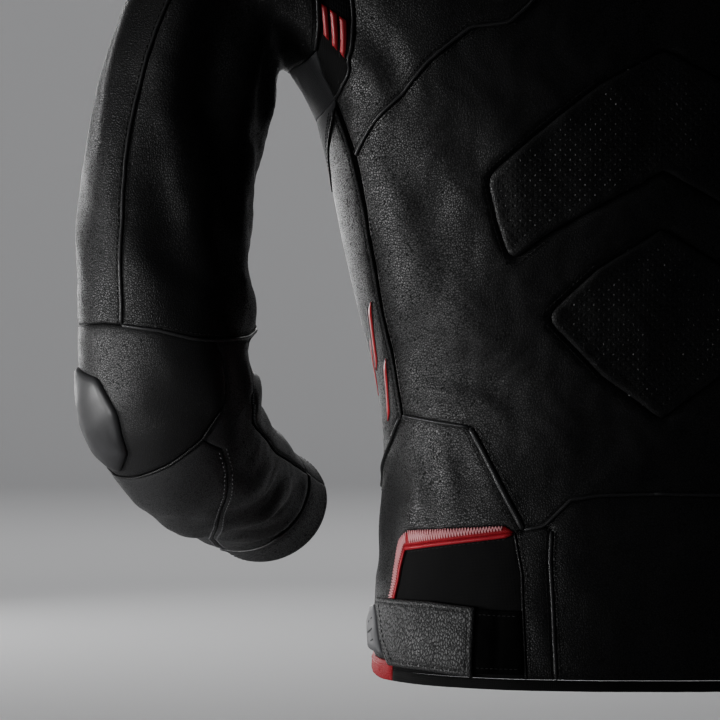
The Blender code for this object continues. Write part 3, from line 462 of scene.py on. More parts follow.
def filled(outline, holes, step, ring_places):
    """Flat points and triangles that fill an outline but not its holes, closer together along the edges."""
    loops = [outline] + holes
    low, high = outline.min(0), outline.max(0)
    across, along = np.meshgrid(np.arange(low[0], high[0], step), np.arange(low[1], high[1], step * 0.866))
    across = across + (np.arange(across.shape[0]) % 2)[:, None] * step / 2
    inner = np.stack([across.ravel(), along.ravel()], 1)
    extra = np.concatenate([inset(loop, ring) for loop in loops for ring in ring_places])
    clear = ring_places[-1] + 0.5 * step
    inner = inner[to_edge(inner, outline) > clear]
    keep = to_edge(extra, outline) > 0.6 * ROLL_RINGS[0]
    for hole in holes:
        inner = inner[to_edge(inner, hole) < -clear]
        keep &= to_edge(extra, hole) < -0.6 * ROLL_RINGS[0]
    edges = []
    for k, loop in enumerate(loops):
        edges += ring_edges(len(loop), sum(len(before) for before in loops[:k]))
    found, triangles = triangulated(np.concatenate(loops + [extra[keep], inner]), edges)
    for hole in holes:
        triangles = triangles[to_edge(found[triangles].mean(1), hole) < 0]
    return found, triangles


def mesh_object(name, points, faces, finishes, choice=None, chart=None):
    """A mesh object from points and faces. choice gives each face's finish, chart each point's flat place."""
    mesh = bpy.data.meshes.new(name)
    mesh.vertices.add(len(points))
    mesh.vertices.foreach_set("co", np.asarray(points, float).ravel())
    sizes = np.array([len(f) for f in faces])
    corners = np.concatenate([np.asarray(f) for f in faces])
    mesh.loops.add(len(corners))
    mesh.loops.foreach_set("vertex_index", corners)
    mesh.polygons.add(len(faces))
    mesh.polygons.foreach_set("loop_start", np.concatenate([[0], np.cumsum(sizes)[:-1]]))
    mesh.polygons.foreach_set("loop_total", sizes)
    for finish in finishes:
        mesh.materials.append(finish)
    if choice is not None:
        mesh.polygons.foreach_set("material_index", np.asarray(choice, np.int32))
    if chart is not None:
        layer = mesh.uv_layers.new(name="cut")
        layer.data.foreach_set("uv", np.asarray(chart, float)[corners].ravel())
    mesh.update(calc_edges=True)
    mesh.validate()
    mesh.shade_smooth()
    made = bpy.data.objects.new(name, mesh)
    bpy.context.collection.objects.link(made)
    return made


PUFF_REACH = 0.010  # from the edge to where a padded piece has nearly its full height
BACK_FOLLOWS = 0.6  # how far the back of a piece follows its folded edge


def cloth(name, surface, outline, finish, slot="black_leather", wall=LEATHER, lift=0.0, both=False,
          right=False, step=0.006, holes=(), roll=0.0009, puff=0.0, soft=True, tuft=None, rings=ROLL_RINGS,
          punched=None):
    """One cut and sewn piece, lined if it is leather. lift is how far its face stands out, roll how far its
    folded edge turns down, puff how far its middle stands up, tuft shapes its face further, and punched tells
    where it has holes."""
    unit = SURFACES[surface][1]
    middle = 0.0 if both else float(np.mean([corner[0] for corner in outline]))
    edge = flat_cut(outline, middle, unit, both, SEAM_GAP / 2, step)
    gaps = [flat_cut(hole, middle, unit, both, -SEAM_GAP / 2, step) for hole in holes]
    flat, triangles = filled(edge, gaps, step, rings)
    place, out = laid(surface, flat[:, 0] / unit(flat[:, 1]) + middle, flat[:, 1], mirrored=right)
    reach = np.maximum(np.min([to_edge(flat, edge)] + [-to_edge(flat, gap) for gap in gaps], axis=0), 0)
    folded = np.clip(1 - reach / ROLL_RINGS[1], 0, 1) ** 2
    height = lift - roll * folded + puff * (1 - np.exp(-reach / PUFF_REACH))
    if tuft is not None:
        height = height + tuft(flat, reach)
    outer = place + height[:, None] * out
    inner = place + (lift - wall + BACK_FOLLOWS * np.minimum(height - lift, 0))[:, None] * out
    faces = triangles[:, ::-1]
    count = len(outer)
    sides = {(f[i], f[i - 2]): None for f in faces for i in range(3)}  # the faces' edges, in their direction
    rims = [(b, a, a + count, b + count) for a, b in sides if (b, a) not in sides]
    solid = [tuple(f) for f in faces] + [tuple(f[::-1] + count) for f in faces] + rims
    lined = slot == "black_leather"
    choice = [0] * len(faces) + [int(lined)] * len(faces) + [0] * len(rims)
    points = np.concatenate([outer, inner])
    if right:
        points = points * (-1, 1, 1)
        solid = [f[::-1] for f in solid]
    finishes = [finish, LINING] if lined else [finish]
    piece = mesh_object(name + "_cloth", points, solid, finishes, choice, np.concatenate([flat, flat]))
    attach(piece, "jacket")
    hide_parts(name)
    if punched is not None:
        field = piece.data.attributes.new("punched", "FLOAT", "POINT")
        field.data.foreach_set("value", np.tile(punched(reach), 2))


def pair(name, *args, **options):
    """A piece on the wearer's left, and its mirror image on the right."""
    for side in ("left", "right"):
        cloth(f"{name}_{side}", *args, right=side == "right", **options)


def plug(made, sockets):
    """Give each socket of a node a value, or link it to another node's output."""
    for key, value in sockets.items():
        if isinstance(value, bpy.types.NodeSocket):
            made.id_data.links.new(value, made.inputs[key])
        else:
            made.inputs[key].default_value = value


def node(tree, kind, out, sockets={}, **settings):
    """The output of a new shader node, with its settings and sockets filled in."""
    made = tree.nodes.new("ShaderNode" + kind)
    for key, value in settings.items():
        setattr(made, key, value)
    plug(made, sockets)
    return made.outputs[out]


def ramp(tree, source, low, high, low_value, high_value, **settings):
    """A value that goes from one number to another as the source goes from low to high."""
    ends = {"Value": source, "From Min": low, "From Max": high, "To Min": low_value, "To Max": high_value}
    return node(tree, "MapRange", "Result", ends, clamp=True, **settings)


def tone_and_shade_mix(tree, dark, light, share):
    """A colour between a dark and a light one, by a share that another node gives."""
    return node(tree, "Mix", "Result", {"A": (*dark, 1), "B": (*light, 1), "Factor": share}, data_type="RGBA")


def shader(name, colour, roughness, metallic=0.0):
    """A material of one colour, and its shader for the finishes that add to it."""
    made = bpy.data.materials.new(name)
    made.use_nodes = True
    face = made.node_tree.nodes["Principled BSDF"]
    plug(face, {"Base Color": (*colour, 1), "Roughness": roughness, "Metallic": metallic})
    return made, made.node_tree, face


def leather(name, colour, worn, pebble, depth, roughness, shine=0.4, drawn=1.0):
    """Grained cowhide: pebbles with furrows between them, drawn out along z, rubbed unevenly; painted shade
    darkens the furrows.
    """
    made, tree, face = shader(name, colour, roughness)
    place = node(tree, "TexCoord", "Object")
    long_grain = node(tree, "Mapping", "Vector", {"Scale": (1, 1, 1 / drawn), "Vector": place})
    bend = node(tree, "TexNoise", "Color", {"Scale": 0.6 / pebble, "Detail": 1, "Vector": place})
    pushed = {0: bend, 1: (pebble * 0.7,) * 3, 2: long_grain}
    grain = node(tree, "VectorMath", "Vector", pushed, operation="MULTIPLY_ADD")
    pebbles = {"Scale": 1 / pebble, "Vector": grain}
    inside = node(tree, "TexVoronoi", "Distance", pebbles, feature="DISTANCE_TO_EDGE")
    dome = ramp(tree, inside, 0.0, 0.30, 0.0, 1.0, interpolation_type="SMOOTHSTEP")
    patch = node(tree, "TexNoise", "Fac", {"Scale": 11, "Detail": 4, "Vector": place})
    amount = ramp(tree, patch, 0.35, 0.65, 0.8, 1.0)
    relief_and_furrow_shade = node(tree, "Math", "Value", {0: dome, 1: amount}, operation="MULTIPLY")
    bump = node(tree, "Bump", "Normal", {"Strength": 1.0, "Distance": depth, "Height": relief_and_furrow_shade})
    polish = ramp(tree, patch, 0.3, 0.7, roughness + 0.04, roughness - 0.04)
    furrow = ramp(tree, inside, 0.0, 0.14, 0.0, 1.0)
    gloss = node(tree, "Mix", "Result", {"A": 1.0, "B": polish, "Factor": furrow}, data_type="FLOAT")
    # The colour runs from the dark one in the furrows, which is painted shade, to the lighter worn one on the
    # pebble tops.
    plug(face, {"Base Color": tone_and_shade_mix(tree, colour, worn, relief_and_furrow_shade), "Normal": bump, "Roughness": gloss,
                "Specular IOR Level": shine})
    return made


def woven(name, colour, light, pitch, roughness, sheen=0.2, shine=0.3):
    """Knitted or woven cloth: crossing threads a pitch apart."""
    made, tree, face = shader(name, colour, roughness)
    flat = node(tree, "TexCoord", "UV")
    place = node(tree, "TexCoord", "Object")
    bands = {"Scale": 1 / (pitch * 3.2), "Distortion": 0.4, "Vector": flat}
    warp, weft = (node(tree, "TexWave", "Fac", bands, wave_type="BANDS", bands_direction=way) for way in "XY")
    cross = node(tree, "Math", "Value", {0: warp, 1: weft}, operation="MULTIPLY")
    fuzz = node(tree, "TexNoise", "Fac", {"Scale": 35, "Vector": place})
    bump = node(tree, "Bump", "Normal", {"Strength": 0.5, "Distance": pitch * 0.3, "Height": cross})
    weight = node(tree, "Math", "Value", {0: cross, 1: fuzz}, operation="MULTIPLY")
    plug(face, {"Base Color": tone_and_shade_mix(tree, colour, light, weight), "Normal": bump, "Sheen Weight": sheen,
                "Specular IOR Level": shine})
    return made


HIDE = leather("black_cowhide", (0.0012, 0.0012, 0.0013), (0.010, 0.010, 0.0104), 0.0015, 0.00010, 0.39)
LINING = woven("black_mesh_lining", (0.010, 0.010, 0.010), (0.030, 0.030, 0.030), 0.0016, 0.9)


def stations(start, end, step):
    """Places along a curved seam at whole steps, so that the pieces on both its sides share them."""
    low, high = min(start, end), max(start, end)
    between = [t for t in range(0, 400, step) if low < t < high]
    return [start] + between[:: 1 if start < end else -1] + [end]


def armhole_edge(start, end):
    round_, height = armhole(np.array(stations(start, end, 5)))
    return [(float(r), float(h)) for r, h in zip(round_, height)]


def sleeve_top(start, end):
    return [(turn, 0.0) for turn in stations(start, end, 5)]


def neck_edge(start, end, height=NECK):
    return [(round_, height) for round_ in stations(start, end, 3)]


TIP_ROUND, TIP_HEIGHT = (float(v) for v in armhole(ARMHOLE_TIP))
YOKE_SEAM = [(0, -0.185), (11.5, -0.185), (14, -0.204), (16, -0.214), (20, -0.216), (25, -0.236),
             (29, -0.256), (34, -0.275), (37, -0.292)]
cloth("back_yoke", "body", YOKE_SEAM + armhole_edge(ARMHOLE_TIP, 0) + [(SIDE, -0.03)] + neck_edge(SIDE, 0),
      HIDE, both=True)


# ======== Back: one large piece of the same cowhide from the yoke to the waist. Two openings in it are filled
# by perforated inserts that let air through: leather over thin foam, raised, with a rounded rim, sewn in
# round the edge.
SIDE_LINE_BACK = [(37, -0.292), (37.05, -0.33), (37.05, -0.455)]
WAIST_TOP = [(25.6, -0.4616), (37.05, -0.455)]
HIP_CORNER = (18, -0.5246)
LOW_BACK_SEAM = [(0, -0.502), (8, -0.503), (11.8, -0.506), (15.2, -0.522), HIP_CORNER]
UPPER_INSERT = [(0, -0.232), (7, -0.2528), (13, -0.278), (20, -0.308, 0.012), (19.3, -0.335),
                (18, -0.361, 0.010), (14, -0.345), (0, -0.305)]
LOWER_INSERT = [(0, -0.3405), (7.6, -0.364), (14.3, -0.394, 0.010), (7.6, -0.430), (0, -0.456)]
HOLE_PITCH = 0.0043
HOLE_SIZE = 0.26  # of the pitch
INSERT_RIM = 0.0048


def perforated(name, plain):
    """Leather with rows of small punched holes, on the flat cut."""
    made = plain.copy()
    made.name = name
    tree = made.node_tree
    face = tree.nodes["Principled BSDF"]
    flat = node(tree, "TexCoord", "UV")
    rows = {"Rotation": (0, 0, math.radians(45)), "Scale": (1 / HOLE_PITCH,) * 3, "Vector": flat}
    turned = node(tree, "Mapping", "Vector", rows)
    cell = node(tree, "VectorMath", "Vector", {0: turned}, operation="FRACTION")
    centred = node(tree, "VectorMath", "Vector", {0: cell, 1: (0.5, 0.5, 0.0)}, operation="SUBTRACT")
    level = node(tree, "VectorMath", "Vector", {0: centred, 1: (1, 1, 0)}, operation="MULTIPLY")
    far = node(tree, "VectorMath", "Value", {0: level}, operation="LENGTH")
    beside = ramp(tree, far, HOLE_SIZE * 0.7, HOLE_SIZE, 0.0, 1.0)
    field = node(tree, "Attribute", "Fac", attribute_name="punched")
    unpunched = node(tree, "Math", "Value", {0: 1.0, 1: field}, operation="SUBTRACT")
    whole = node(tree, "Math", "Value", {0: beside, 1: unpunched}, operation="MAXIMUM")
    grain = face.inputs["Normal"].links[0].from_socket
    pits = {"Strength": 1.0, "Distance": 0.0004, "Height": whole, "Normal": grain}
    colour = face.inputs["Base Color"].links[0].from_socket
    # The holes are coloured near black: painted shade inside them.
    dark = {"A": (0.0005, 0.0005, 0.0005, 1), "B": colour, "Factor": whole}
    plug(face, {"Base Color": node(tree, "Mix", "Result", dark, data_type="RGBA"),
                "Normal": node(tree, "Bump", "Normal", pits)})
    return made


def insert_rim(flat, reach):
    """A rounded rim round the insert, standing above the punched field."""
    return 0.0005 * np.exp(-(((reach - INSERT_RIM * 0.55) / (INSERT_RIM * 0.4)) ** 2))


def punched_field(reach):
    """1 in the punched field and 0 on the rim."""
    return np.clip((reach - INSERT_RIM) / 0.001, 0, 1)


cloth("back", "body", YOKE_SEAM + SIDE_LINE_BACK[1:] + WAIST_TOP[:1] + LOW_BACK_SEAM[::-1], HIDE,
      both=True, holes=(UPPER_INSERT, LOWER_INSERT), step=0.0038, roll=0.0007)
PUNCHED = perforated("punched_cowhide", HIDE)
for place, insert_cut in (("upper", UPPER_INSERT), ("lower", LOWER_INSERT)):
    cloth("perforated_insert_" + place, "body", insert_cut, PUNCHED, both=True, wall=0.0028, lift=0.0004,
          step=0.0035, roll=0.0007, tuft=insert_rim, punched=punched_field)


# ======== Low back: a stiffer piece below the waist seam that keeps the small of the back covered, with a
# narrow strip on each side of it. The hem is bound with a soft black cloth band.
BAND = woven("black_hem_cloth", (0.003, 0.003, 0.003), (0.009, 0.009, 0.009), 0.0012, 0.85, sheen=0.05)
BAND_END = 38.4
STRIP_INNER = [(14.3, -0.5245), (14.4, -0.543), (13.9, -0.573), (13.3, HEM_BAND_TOP)]
WINDOW_INNER = [(19.2, -0.5262), (18, -0.552), (17.8, -0.567), (17.1, HEM_BAND_TOP)]
cloth("low_back", "body", LOW_BACK_SEAM[:-1] + STRIP_INNER + [(0, HEM_BAND_TOP)], HIDE, both=True,
      puff=0.0012)
cloth("hem_band", "body", [(0, HEM_BAND_TOP), (BAND_END, HEM_BAND_TOP), (BAND_END, HEM), (0, HEM)], BAND,
      "black_cloth", both=True, wall=0.0026, step=0.004, roll=0.0012)
pair("low_strip", "body", [HIP_CORNER, (15.2, -0.522)] + STRIP_INNER + WINDOW_INNER[::-1], HIDE,
     step=0.0045, puff=0.0010)


# ======== Sides: from the armpit to the hip runs a strip of leather, set off from the back by a thin black
# line where the seam is bound with fabric; the line's near-black colour is partly painted shade in the seam's
# gap. Above it, under the arm, a grey stretch panel lets the arm reach forward.
# The side strips' cowhide is coloured lighter than the back's: painted light, for the light that falls on the
# strips from the side.
SIDE_HIDE_PAINTED_LIGHT = leather("side_cowhide_painted_light", (0.006, 0.006, 0.0064), (0.016, 0.016, 0.017), 0.0015, 0.0001, 0.38,
                    shine=0.45)
STRETCH = woven("grey_stretch_knit", (0.060, 0.061, 0.064), (0.120, 0.122, 0.128), 0.0008, 0.8, sheen=0.35)
# Near black and almost without shine: partly the black cloth of the seam, partly painted shade in its narrow
# gap.
SEAM_CLOTH_AND_GAP_SHADE = woven("seam_cloth_and_gap_shade", (0.001, 0.001, 0.001), (0.003, 0.003, 0.003), 0.001, 0.95, sheen=0,
                   shine=0.05)
SIDE_LINE_FRONT = [(TIP_ROUND + 0.45, -0.261), (38.3, -0.288), (37.75, -0.33), (37.75, -0.456)]
STRETCH_SEAM = [(TIP_ROUND + 0.45, -0.261), (40.3, -0.267), (44.5, -0.286), (47.4, -0.304), (50, -0.311),
                (52.6, -0.304), (55.5, -0.286), (FRONT_SEAM - 0.6, -0.260)]
HIP_SEAM = [(37.75, -0.456), (41.7, -0.471), (46.9, -0.488), (51, -0.503), (FRONT_SEAM, -0.530)]
pair("side_line", "body", [(TIP_ROUND, TIP_HEIGHT - 0.0008)] + SIDE_LINE_BACK + SIDE_LINE_FRONT[::-1],
     SEAM_CLOTH_AND_GAP_SHADE, "black_cloth", wall=0.0012, lift=-0.0008, step=0.003, roll=0.0002)
pair("side", "body", STRETCH_SEAM + [(FRONT_SEAM, -0.290)] + HIP_SEAM[::-1] + SIDE_LINE_FRONT[:0:-1],
     SIDE_HIDE_PAINTED_LIGHT, step=0.0045)
pair("side_stretch", "body", [(TIP_ROUND, TIP_HEIGHT)] + STRETCH_SEAM
     + armhole_edge(360 - ARMHOLE_TIP, ARMHOLE_TIP), STRETCH, "stretch_cloth", wall=FABRIC, step=0.0045,
     roll=0.0006)


# ======== Hips: a leather piece round each hip, edged below with a red leather trim. The trim frames a window
# of black stretch cloth. The front end of the hem is red leather.
WINDOW = woven("window_stretch", (0.0022, 0.0022, 0.0024), (0.006, 0.006, 0.0062), 0.0009, 0.85, sheen=0.03,
               shine=0.2)
RED_HIDE = leather("red_cowhide", (0.32, 0.004, 0.012), (0.44, 0.008, 0.020), 0.0013, 0.00010, 0.50,
                   shine=0.3)
TRIM_TOP = [(19.2, -0.5262), (20.5, -0.5223), (35.7, -0.5275)]
TRIM_LOW = [(20.3, -0.5275), (36.3, -0.5375)]
LEG_OUTER = [(37.7, -0.533), (39.9, -0.572), (39.9, -0.580)]
LEG_INNER = [(36.3, -0.5375), (BAND_END, -0.572), (BAND_END, HEM_BAND_TOP)]
pair("hip", "body", WAIST_TOP + HIP_SEAM + [(FRONT_SEAM, -0.610), (BAND_END, -0.610), (BAND_END, -0.580)]
     + LEG_OUTER[::-1] + TRIM_TOP[::-1] + [HIP_CORNER], HIDE, step=0.0045)
pair("hip_trim", "body", TRIM_TOP + LEG_OUTER + [(BAND_END, -0.580)] + LEG_INNER[1::-1] + TRIM_LOW[:1],
     RED_HIDE, "red_leather", wall=0.0026, lift=0.0008, step=0.0028, roll=0.0012)
pair("waist_stretch", "body", WINDOW_INNER[:1] + TRIM_LOW + LEG_INNER[1:] + WINDOW_INNER[:0:-1], WINDOW,
     "black_cloth", wall=FABRIC, lift=-0.0006, step=0.0045, roll=0.0004)
pair("hem_side", "body", [(BAND_END, -0.610), (FRONT_SEAM, -0.610), (FRONT_SEAM, HEM), (BAND_END, HEM)],
     RED_HIDE, "red_leather", step=0.0035)


# ======== Waist strap: a leather strap with a stitched border lies over the window and the hip. Its short
# black elastic is sewn into the strip seam behind, and its moulded rubber tab in front has three slanted
# slits for the grip.
STRAP_HIDE = leather("strap_cowhide", (0.002, 0.002, 0.0022), (0.016, 0.016, 0.0164), 0.0015, 0.00020, 0.48,
                     shine=1.0, drawn=1.9)
ELASTIC = woven("smooth_elastic", (0.001, 0.001, 0.001), (0.0025, 0.0025, 0.0025), 0.0008, 0.9, sheen=0,
                shine=0.1)
STRAP_CUT = [(24, -0.5725), (31, -0.570), (43.8, -0.571, 0.005), (41, -0.598), (38.3, -0.6125, 0.005),
             (31, -0.613), (24, -0.6155)]
TAB_CUT = [(43.3, -0.576), (46.5, -0.578, 0.003), (49, -0.588, 0.003), (46.5, -0.605, 0.003), (39.6, -0.606),
           (41, -0.598)]


def rubber(name, colour, roughness):
    """Moulded rubber with a fine matt bloom and slight scuffs."""
    made, tree, face = shader(name, colour, roughness)
    place = node(tree, "TexCoord", "Object")
    grit = node(tree, "TexNoise", "Fac", {"Scale": 900, "Detail": 3, "Vector": place})
    bump = node(tree, "Bump", "Normal", {"Strength": 0.35, "Distance": 0.0001, "Height": grit})
    scuff = node(tree, "TexNoise", "Fac", {"Scale": 60, "Detail": 5, "Vector": place})
    plug(face, {"Base Color": tone_and_shade_mix(tree, colour, [1.6 * c for c in colour], scuff), "Normal": bump,
                "Roughness": ramp(tree, scuff, 0.3, 0.7, roughness - 0.1, roughness + 0.1)})
    return made


RUBBER = rubber("moulded_rubber", (0.016, 0.016, 0.017), 0.5)
TAB_RUBBER = rubber("pale_rubber", (0.060, 0.060, 0.064), 0.5)


def tab_groove(flat, reach):
    """A groove moulded round the tab's edge."""
    return -0.0004 * np.exp(-(((reach - 0.0022) / 0.0006) ** 2))


STRAP_BORDER = 0.0030  # from the strap's edge to its row of stitches


def sewn_border(flat, reach):
    """The groove that the border's stitches pull into the strap."""
    return -0.0007 * np.exp(-(((reach - STRAP_BORDER) / 0.0008) ** 2))


def doubled_elastic(flat, reach):
    """The elastic is folded double beside the strap; a hollow lies behind the fold."""
    return -0.0012 * np.exp(-(((flat[:, 0] - 0.0005) / 0.0028) ** 2))


pair("waist_strap", "body", STRAP_CUT, STRAP_HIDE, wall=0.0030, lift=0.0042, step=0.0035, roll=0.0012,
     puff=0.0006, tuft=sewn_border, rings=(0.0010, 0.0022, 0.0030, 0.0038, 0.0050))
pair("strap_elastic", "body", [(17.9, -0.574), (23.9, -0.5735), (23.9, -0.613), (17.3, -0.613)], ELASTIC,
     "black_cloth", wall=0.0016, lift=0.0019, step=0.0025, roll=0.0006, tuft=doubled_elastic)
pair("strap_tab", "body", TAB_CUT, TAB_RUBBER, "black_rubber", wall=0.003, lift=0.005, step=0.001, roll=0.001,
     soft=False, tuft=tab_groove)


# ======== Fronts: two pieces of cowhide from the shoulder to the hem, each with the tape of the front zip
# sewn behind its edge. The teeth, moulded onto the tapes' edges, meet in the middle. The slider and its pull
# are metal.
ZIP_TAPE = 0.0085
ZIP_END = HEM + 0.004
ZIP_SIDE = [(float(100 - 100 * ZIP_TAPE / body_girth(h)), float(h)) for h in np.linspace(NECK, ZIP_END, 11)]
FRONT_NECK = ZIP_SIDE[0][0]
TAPE = woven("zip_tape", (0.003, 0.003, 0.003), (0.010, 0.010, 0.010), 0.0010, 0.85, sheen=0.05)
TOOTH_PITCH = 0.0026
TOOTH_LIFT = 0.0006
TOOTH_SIZE = (0.0026, 0.0010, 0.0012)  # out from the middle, along the zip, out of the tape
pair("front", "body", [(FRONT_SEAM, HEM), (FRONT_SEAM, -0.290), (FRONT_SEAM - 0.6, -0.260)]
     + armhole_edge(360 - ARMHOLE_TIP, 360) + [(SIDE, -0.03)] + neck_edge(SIDE, FRONT_NECK)[:-1]
     + ZIP_SIDE + [(ZIP_SIDE[-1][0], HEM)], HIDE)
pair("front_zip", "body", [(100, height) for _, height in ZIP_SIDE[::-1]] + ZIP_SIDE, TAPE, "black_cloth",
     wall=FABRIC, lift=-0.0002, step=0.004, roll=0.0003)


def darkened_metal(name, colour, roughness):
    """Painted metal, rubbed a little brighter in patches by use."""
    made, tree, face = shader(name, colour, roughness, metallic=1.0)
    place = node(tree, "TexCoord", "Object")
    rub = node(tree, "TexNoise", "Fac", {"Scale": 400, "Detail": 4, "Vector": place})
    plug(face, {"Base Color": tone_and_shade_mix(tree, colour, [2.2 * c for c in colour], rub),
                "Roughness": ramp(tree, rub, 0.35, 0.65, roughness - 0.08, roughness + 0.12)})
    return made


ZIP_METAL = darkened_metal("blackened_metal", (0.055, 0.055, 0.058), 0.34)
BOX_CORNERS = [(i, j, k) for i in (-1, 1) for j in (-1, 1) for k in (-1, 1)]
BOX_SIDES = ((0, 1, 3, 2), (4, 6, 7, 5), (0, 4, 5, 1), (2, 3, 7, 6), (0, 2, 6, 4), (1, 5, 7, 3))


def sewn_on(name, points, faces, finish):
    """A small piece of one finish that is fixed to the jacket."""
    piece = mesh_object(name, points, faces, [finish])
    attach(piece, "jacket")
    return piece


def little_blocks(name, places, finish, taper=0.8):
    """Many small blocks as one object. places holds (middle, half side, half length, half height) vectors."""
    points, faces = [], []
    for middle, side, length, height in places:
        faces += [tuple(len(points) + corner for corner in corners) for corners in BOX_SIDES]
        for i, j, k in BOX_CORNERS:
            points.append(middle + (taper if k > 0 else 1.0) * (i * side + j * length) + k * height)
    piece = sewn_on(name, points, faces, finish)
    piece.data.set_sharp_from_angle(angle=math.radians(30))


def run(surface, points, pitch, offset=0.0):
    """Places at a pitch along a line on the pattern, offset to its left, with the line's direction there."""
    unit = SURFACES[surface][1]
    points = np.array([p[:2] for p in points], float)
    shares = np.linspace(0, 1, 41)[1:, None]
    dense = np.concatenate([points[:1]] + [a + (b - a) * shares for a, b in zip(points, points[1:])])
    middle = (dense[1:, 1] + dense[:-1, 1]) / 2
    step = np.stack([np.diff(dense[:, 0]) * unit(middle), np.diff(dense[:, 1])], 1)
    arc = np.concatenate([[0], np.cumsum(np.linalg.norm(step, axis=1))])
    count = max(2, int(round(arc[-1] / pitch)))
    at = (np.arange(count) + 0.5) / count * arc[-1]
    first, second = np.interp(at, arc, dense[:, 0]), np.interp(at, arc, dense[:, 1])
    way = direction(step)
    way = direction(np.stack([np.interp(at, (arc[1:] + arc[:-1]) / 2, way[:, k]) for k in (0, 1)], 1))
    return first - offset * way[:, 1] / unit(second), second + offset * way[:, 0], way


def on_cloth(surface, first, second, lift, mirrored):
    """Places lifted off the cloth, with the way out; on the right side they are the mirror image."""
    place, out = laid(surface, first, second, mirrored=mirrored)
    side = (-1, 1, 1) if mirrored else (1, 1, 1)
    return (place + lift * out) * side, out * side


for side in ("left", "right"):
    heights = np.arange(NECK - 0.003, ZIP_END + 0.003, -TOOTH_PITCH)
    if side == "right":
        heights = heights - TOOTH_PITCH / 2  # the two tapes' teeth take turns
    rounds = 100 - 100 * TOOTH_SIZE[0] * 0.42 / body_girth(heights)
    middle, out = on_cloth("body", rounds, heights, TOOTH_LIFT, side == "right")
    down = direction(on_cloth("body", rounds, heights - 0.0005, TOOTH_LIFT, side == "right")[0] - middle)
    across = np.cross(down, out)
    places = [(m, a * TOOTH_SIZE[0] / 2, d * TOOTH_SIZE[1] / 2, o * TOOTH_SIZE[2] / 2)
              for m, a, d, o in zip(middle, across, down, out)]
    little_blocks(f"zip_teeth_{side}", places, ZIP_METAL)
for hardware in ("zip_slider", "zip_pull"):
    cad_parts[hardware].data.materials.clear()
    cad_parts[hardware].data.materials.append(ZIP_METAL)
    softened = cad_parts[hardware].modifiers.new("worn edges", "BEVEL")
    softened.width, softened.segments = 0.0003, 2


# The slits are not cut into the tab: near-black blocks lie on its face, painted shade in place of the cuts.
SLIT_SHADE = shader("slit_painted_shade", (0.003, 0.003, 0.003), 0.8)[0]
SLITS = [(46.4, -0.5890, 43.6, -0.5845), (46.0, -0.5955, 43.0, -0.5912), (45.4, -0.6020, 42.4, -0.5978)]
SLIT_WIDTH = 0.0012
SLIT_HEIGHT = 0.0004
SLIT_LIFT = 0.0050


def between(start, end, out, width, height):
    """A block from one place to another, lying flat on the cloth."""
    reach = (end - start) / 2
    return (start + end) / 2, direction(np.cross(reach, out)) * width / 2, reach, out * height / 2


slit_places = []
for low_round, low_height, high_round, high_height in SLITS:
    for mirrored in (False, True):
        rounds, heights = np.array([low_round, high_round]), np.array([low_height, high_height])
        (low, high), out = on_cloth("body", rounds, heights, SLIT_LIFT, mirrored)
        slit_places.append(between(low, high, out[0], SLIT_WIDTH, SLIT_HEIGHT))
little_blocks("tab_slits", slit_places, SLIT_SHADE)


# ======== Collar: a low standing band, leather outside and soft lining inside, sewn on the neck seam and open
# at the front.
cloth("collar", "collar", neck_edge(0, FRONT_NECK, 0.0) + [(FRONT_NECK, COLLAR_HEIGHT, 0.012)]
      + neck_edge(FRONT_NECK, 0, COLLAR_HEIGHT)[1:], HIDE, both=True, wall=0.0026, step=0.0045,
      roll=0.0012)


# ======== Upper sleeves: two leather pieces each, back and front, that meet on a seam behind and on one down
# the arm's inner side. At the armhole's back a black fabric insert stretches, and a grey gusset of stretch
# knit fills the armpit.
SHOULDER_CLOTH = woven("shoulder_stretch_cloth", (0.002, 0.002, 0.0022), (0.006, 0.006, 0.0062), 0.0011, 0.9,
                       sheen=0.03)
SLEEVE_HIDE = leather("sleeve_cowhide", (0.0018, 0.0018, 0.002), (0.0052, 0.0052, 0.0056), 0.0015, 0.00012,
                      0.42, shine=0.35)
BACK_SEAM = 64
INNER_SEAM = 196
GUSSET_CORNER = (126, 0.0185)
STRETCH_EDGE = [(20, 0.008), (45, 0.012), (BACK_SEAM, 0.0133), (75, 0.014), (103, 0.016), (117, 0.0175),
                GUSSET_CORNER]
GUSSET_EDGE = [GUSSET_CORNER, (133, 0.021), (141, 0.0235), (150, 0.027), (162, 0.032), (180, 0.036),
               (INNER_SEAM, 0.0335), (200, 0.033), (217, 0.026)]
GUSSET_BACK = [(ARMHOLE_TIP, 0.0), (140, 0.006), (137, 0.012), GUSSET_CORNER]
ELBOW_TOP = [(BACK_SEAM, 0.289), (90, 0.291), (113, 0.296), (132, 0.298), (165, 0.300), (INNER_SEAM, 0.300)]
pair("shoulder_stretch", "sleeve", sleeve_top(20, ARMHOLE_TIP) + GUSSET_BACK[1:-1] + STRETCH_EDGE[::-1],
     SHOULDER_CLOTH, "black_cloth", wall=FABRIC, step=0.0035, roll=0.0005)
pair("underarm_gusset", "sleeve", GUSSET_BACK + GUSSET_EDGE[1:] + sleeve_top(217, ARMHOLE_TIP), STRETCH,
     "stretch_cloth", wall=FABRIC, step=0.0035, roll=0.0005)
pair("upper_sleeve_back", "sleeve", STRETCH_EDGE[2:] + GUSSET_EDGE[1:7] + ELBOW_TOP[::-1], SLEEVE_HIDE,
     step=0.0045)
pair("upper_sleeve_front", "sleeve", GUSSET_EDGE[6:] + sleeve_top(217, 380) + [(380, 0.008), (405, 0.012),
     (424, 0.0133), (424, 0.289), (410, 0.289), (348, 0.296), (300, 0.3), (250, 0.3), (INNER_SEAM, 0.3)],
     SLEEVE_HIDE)


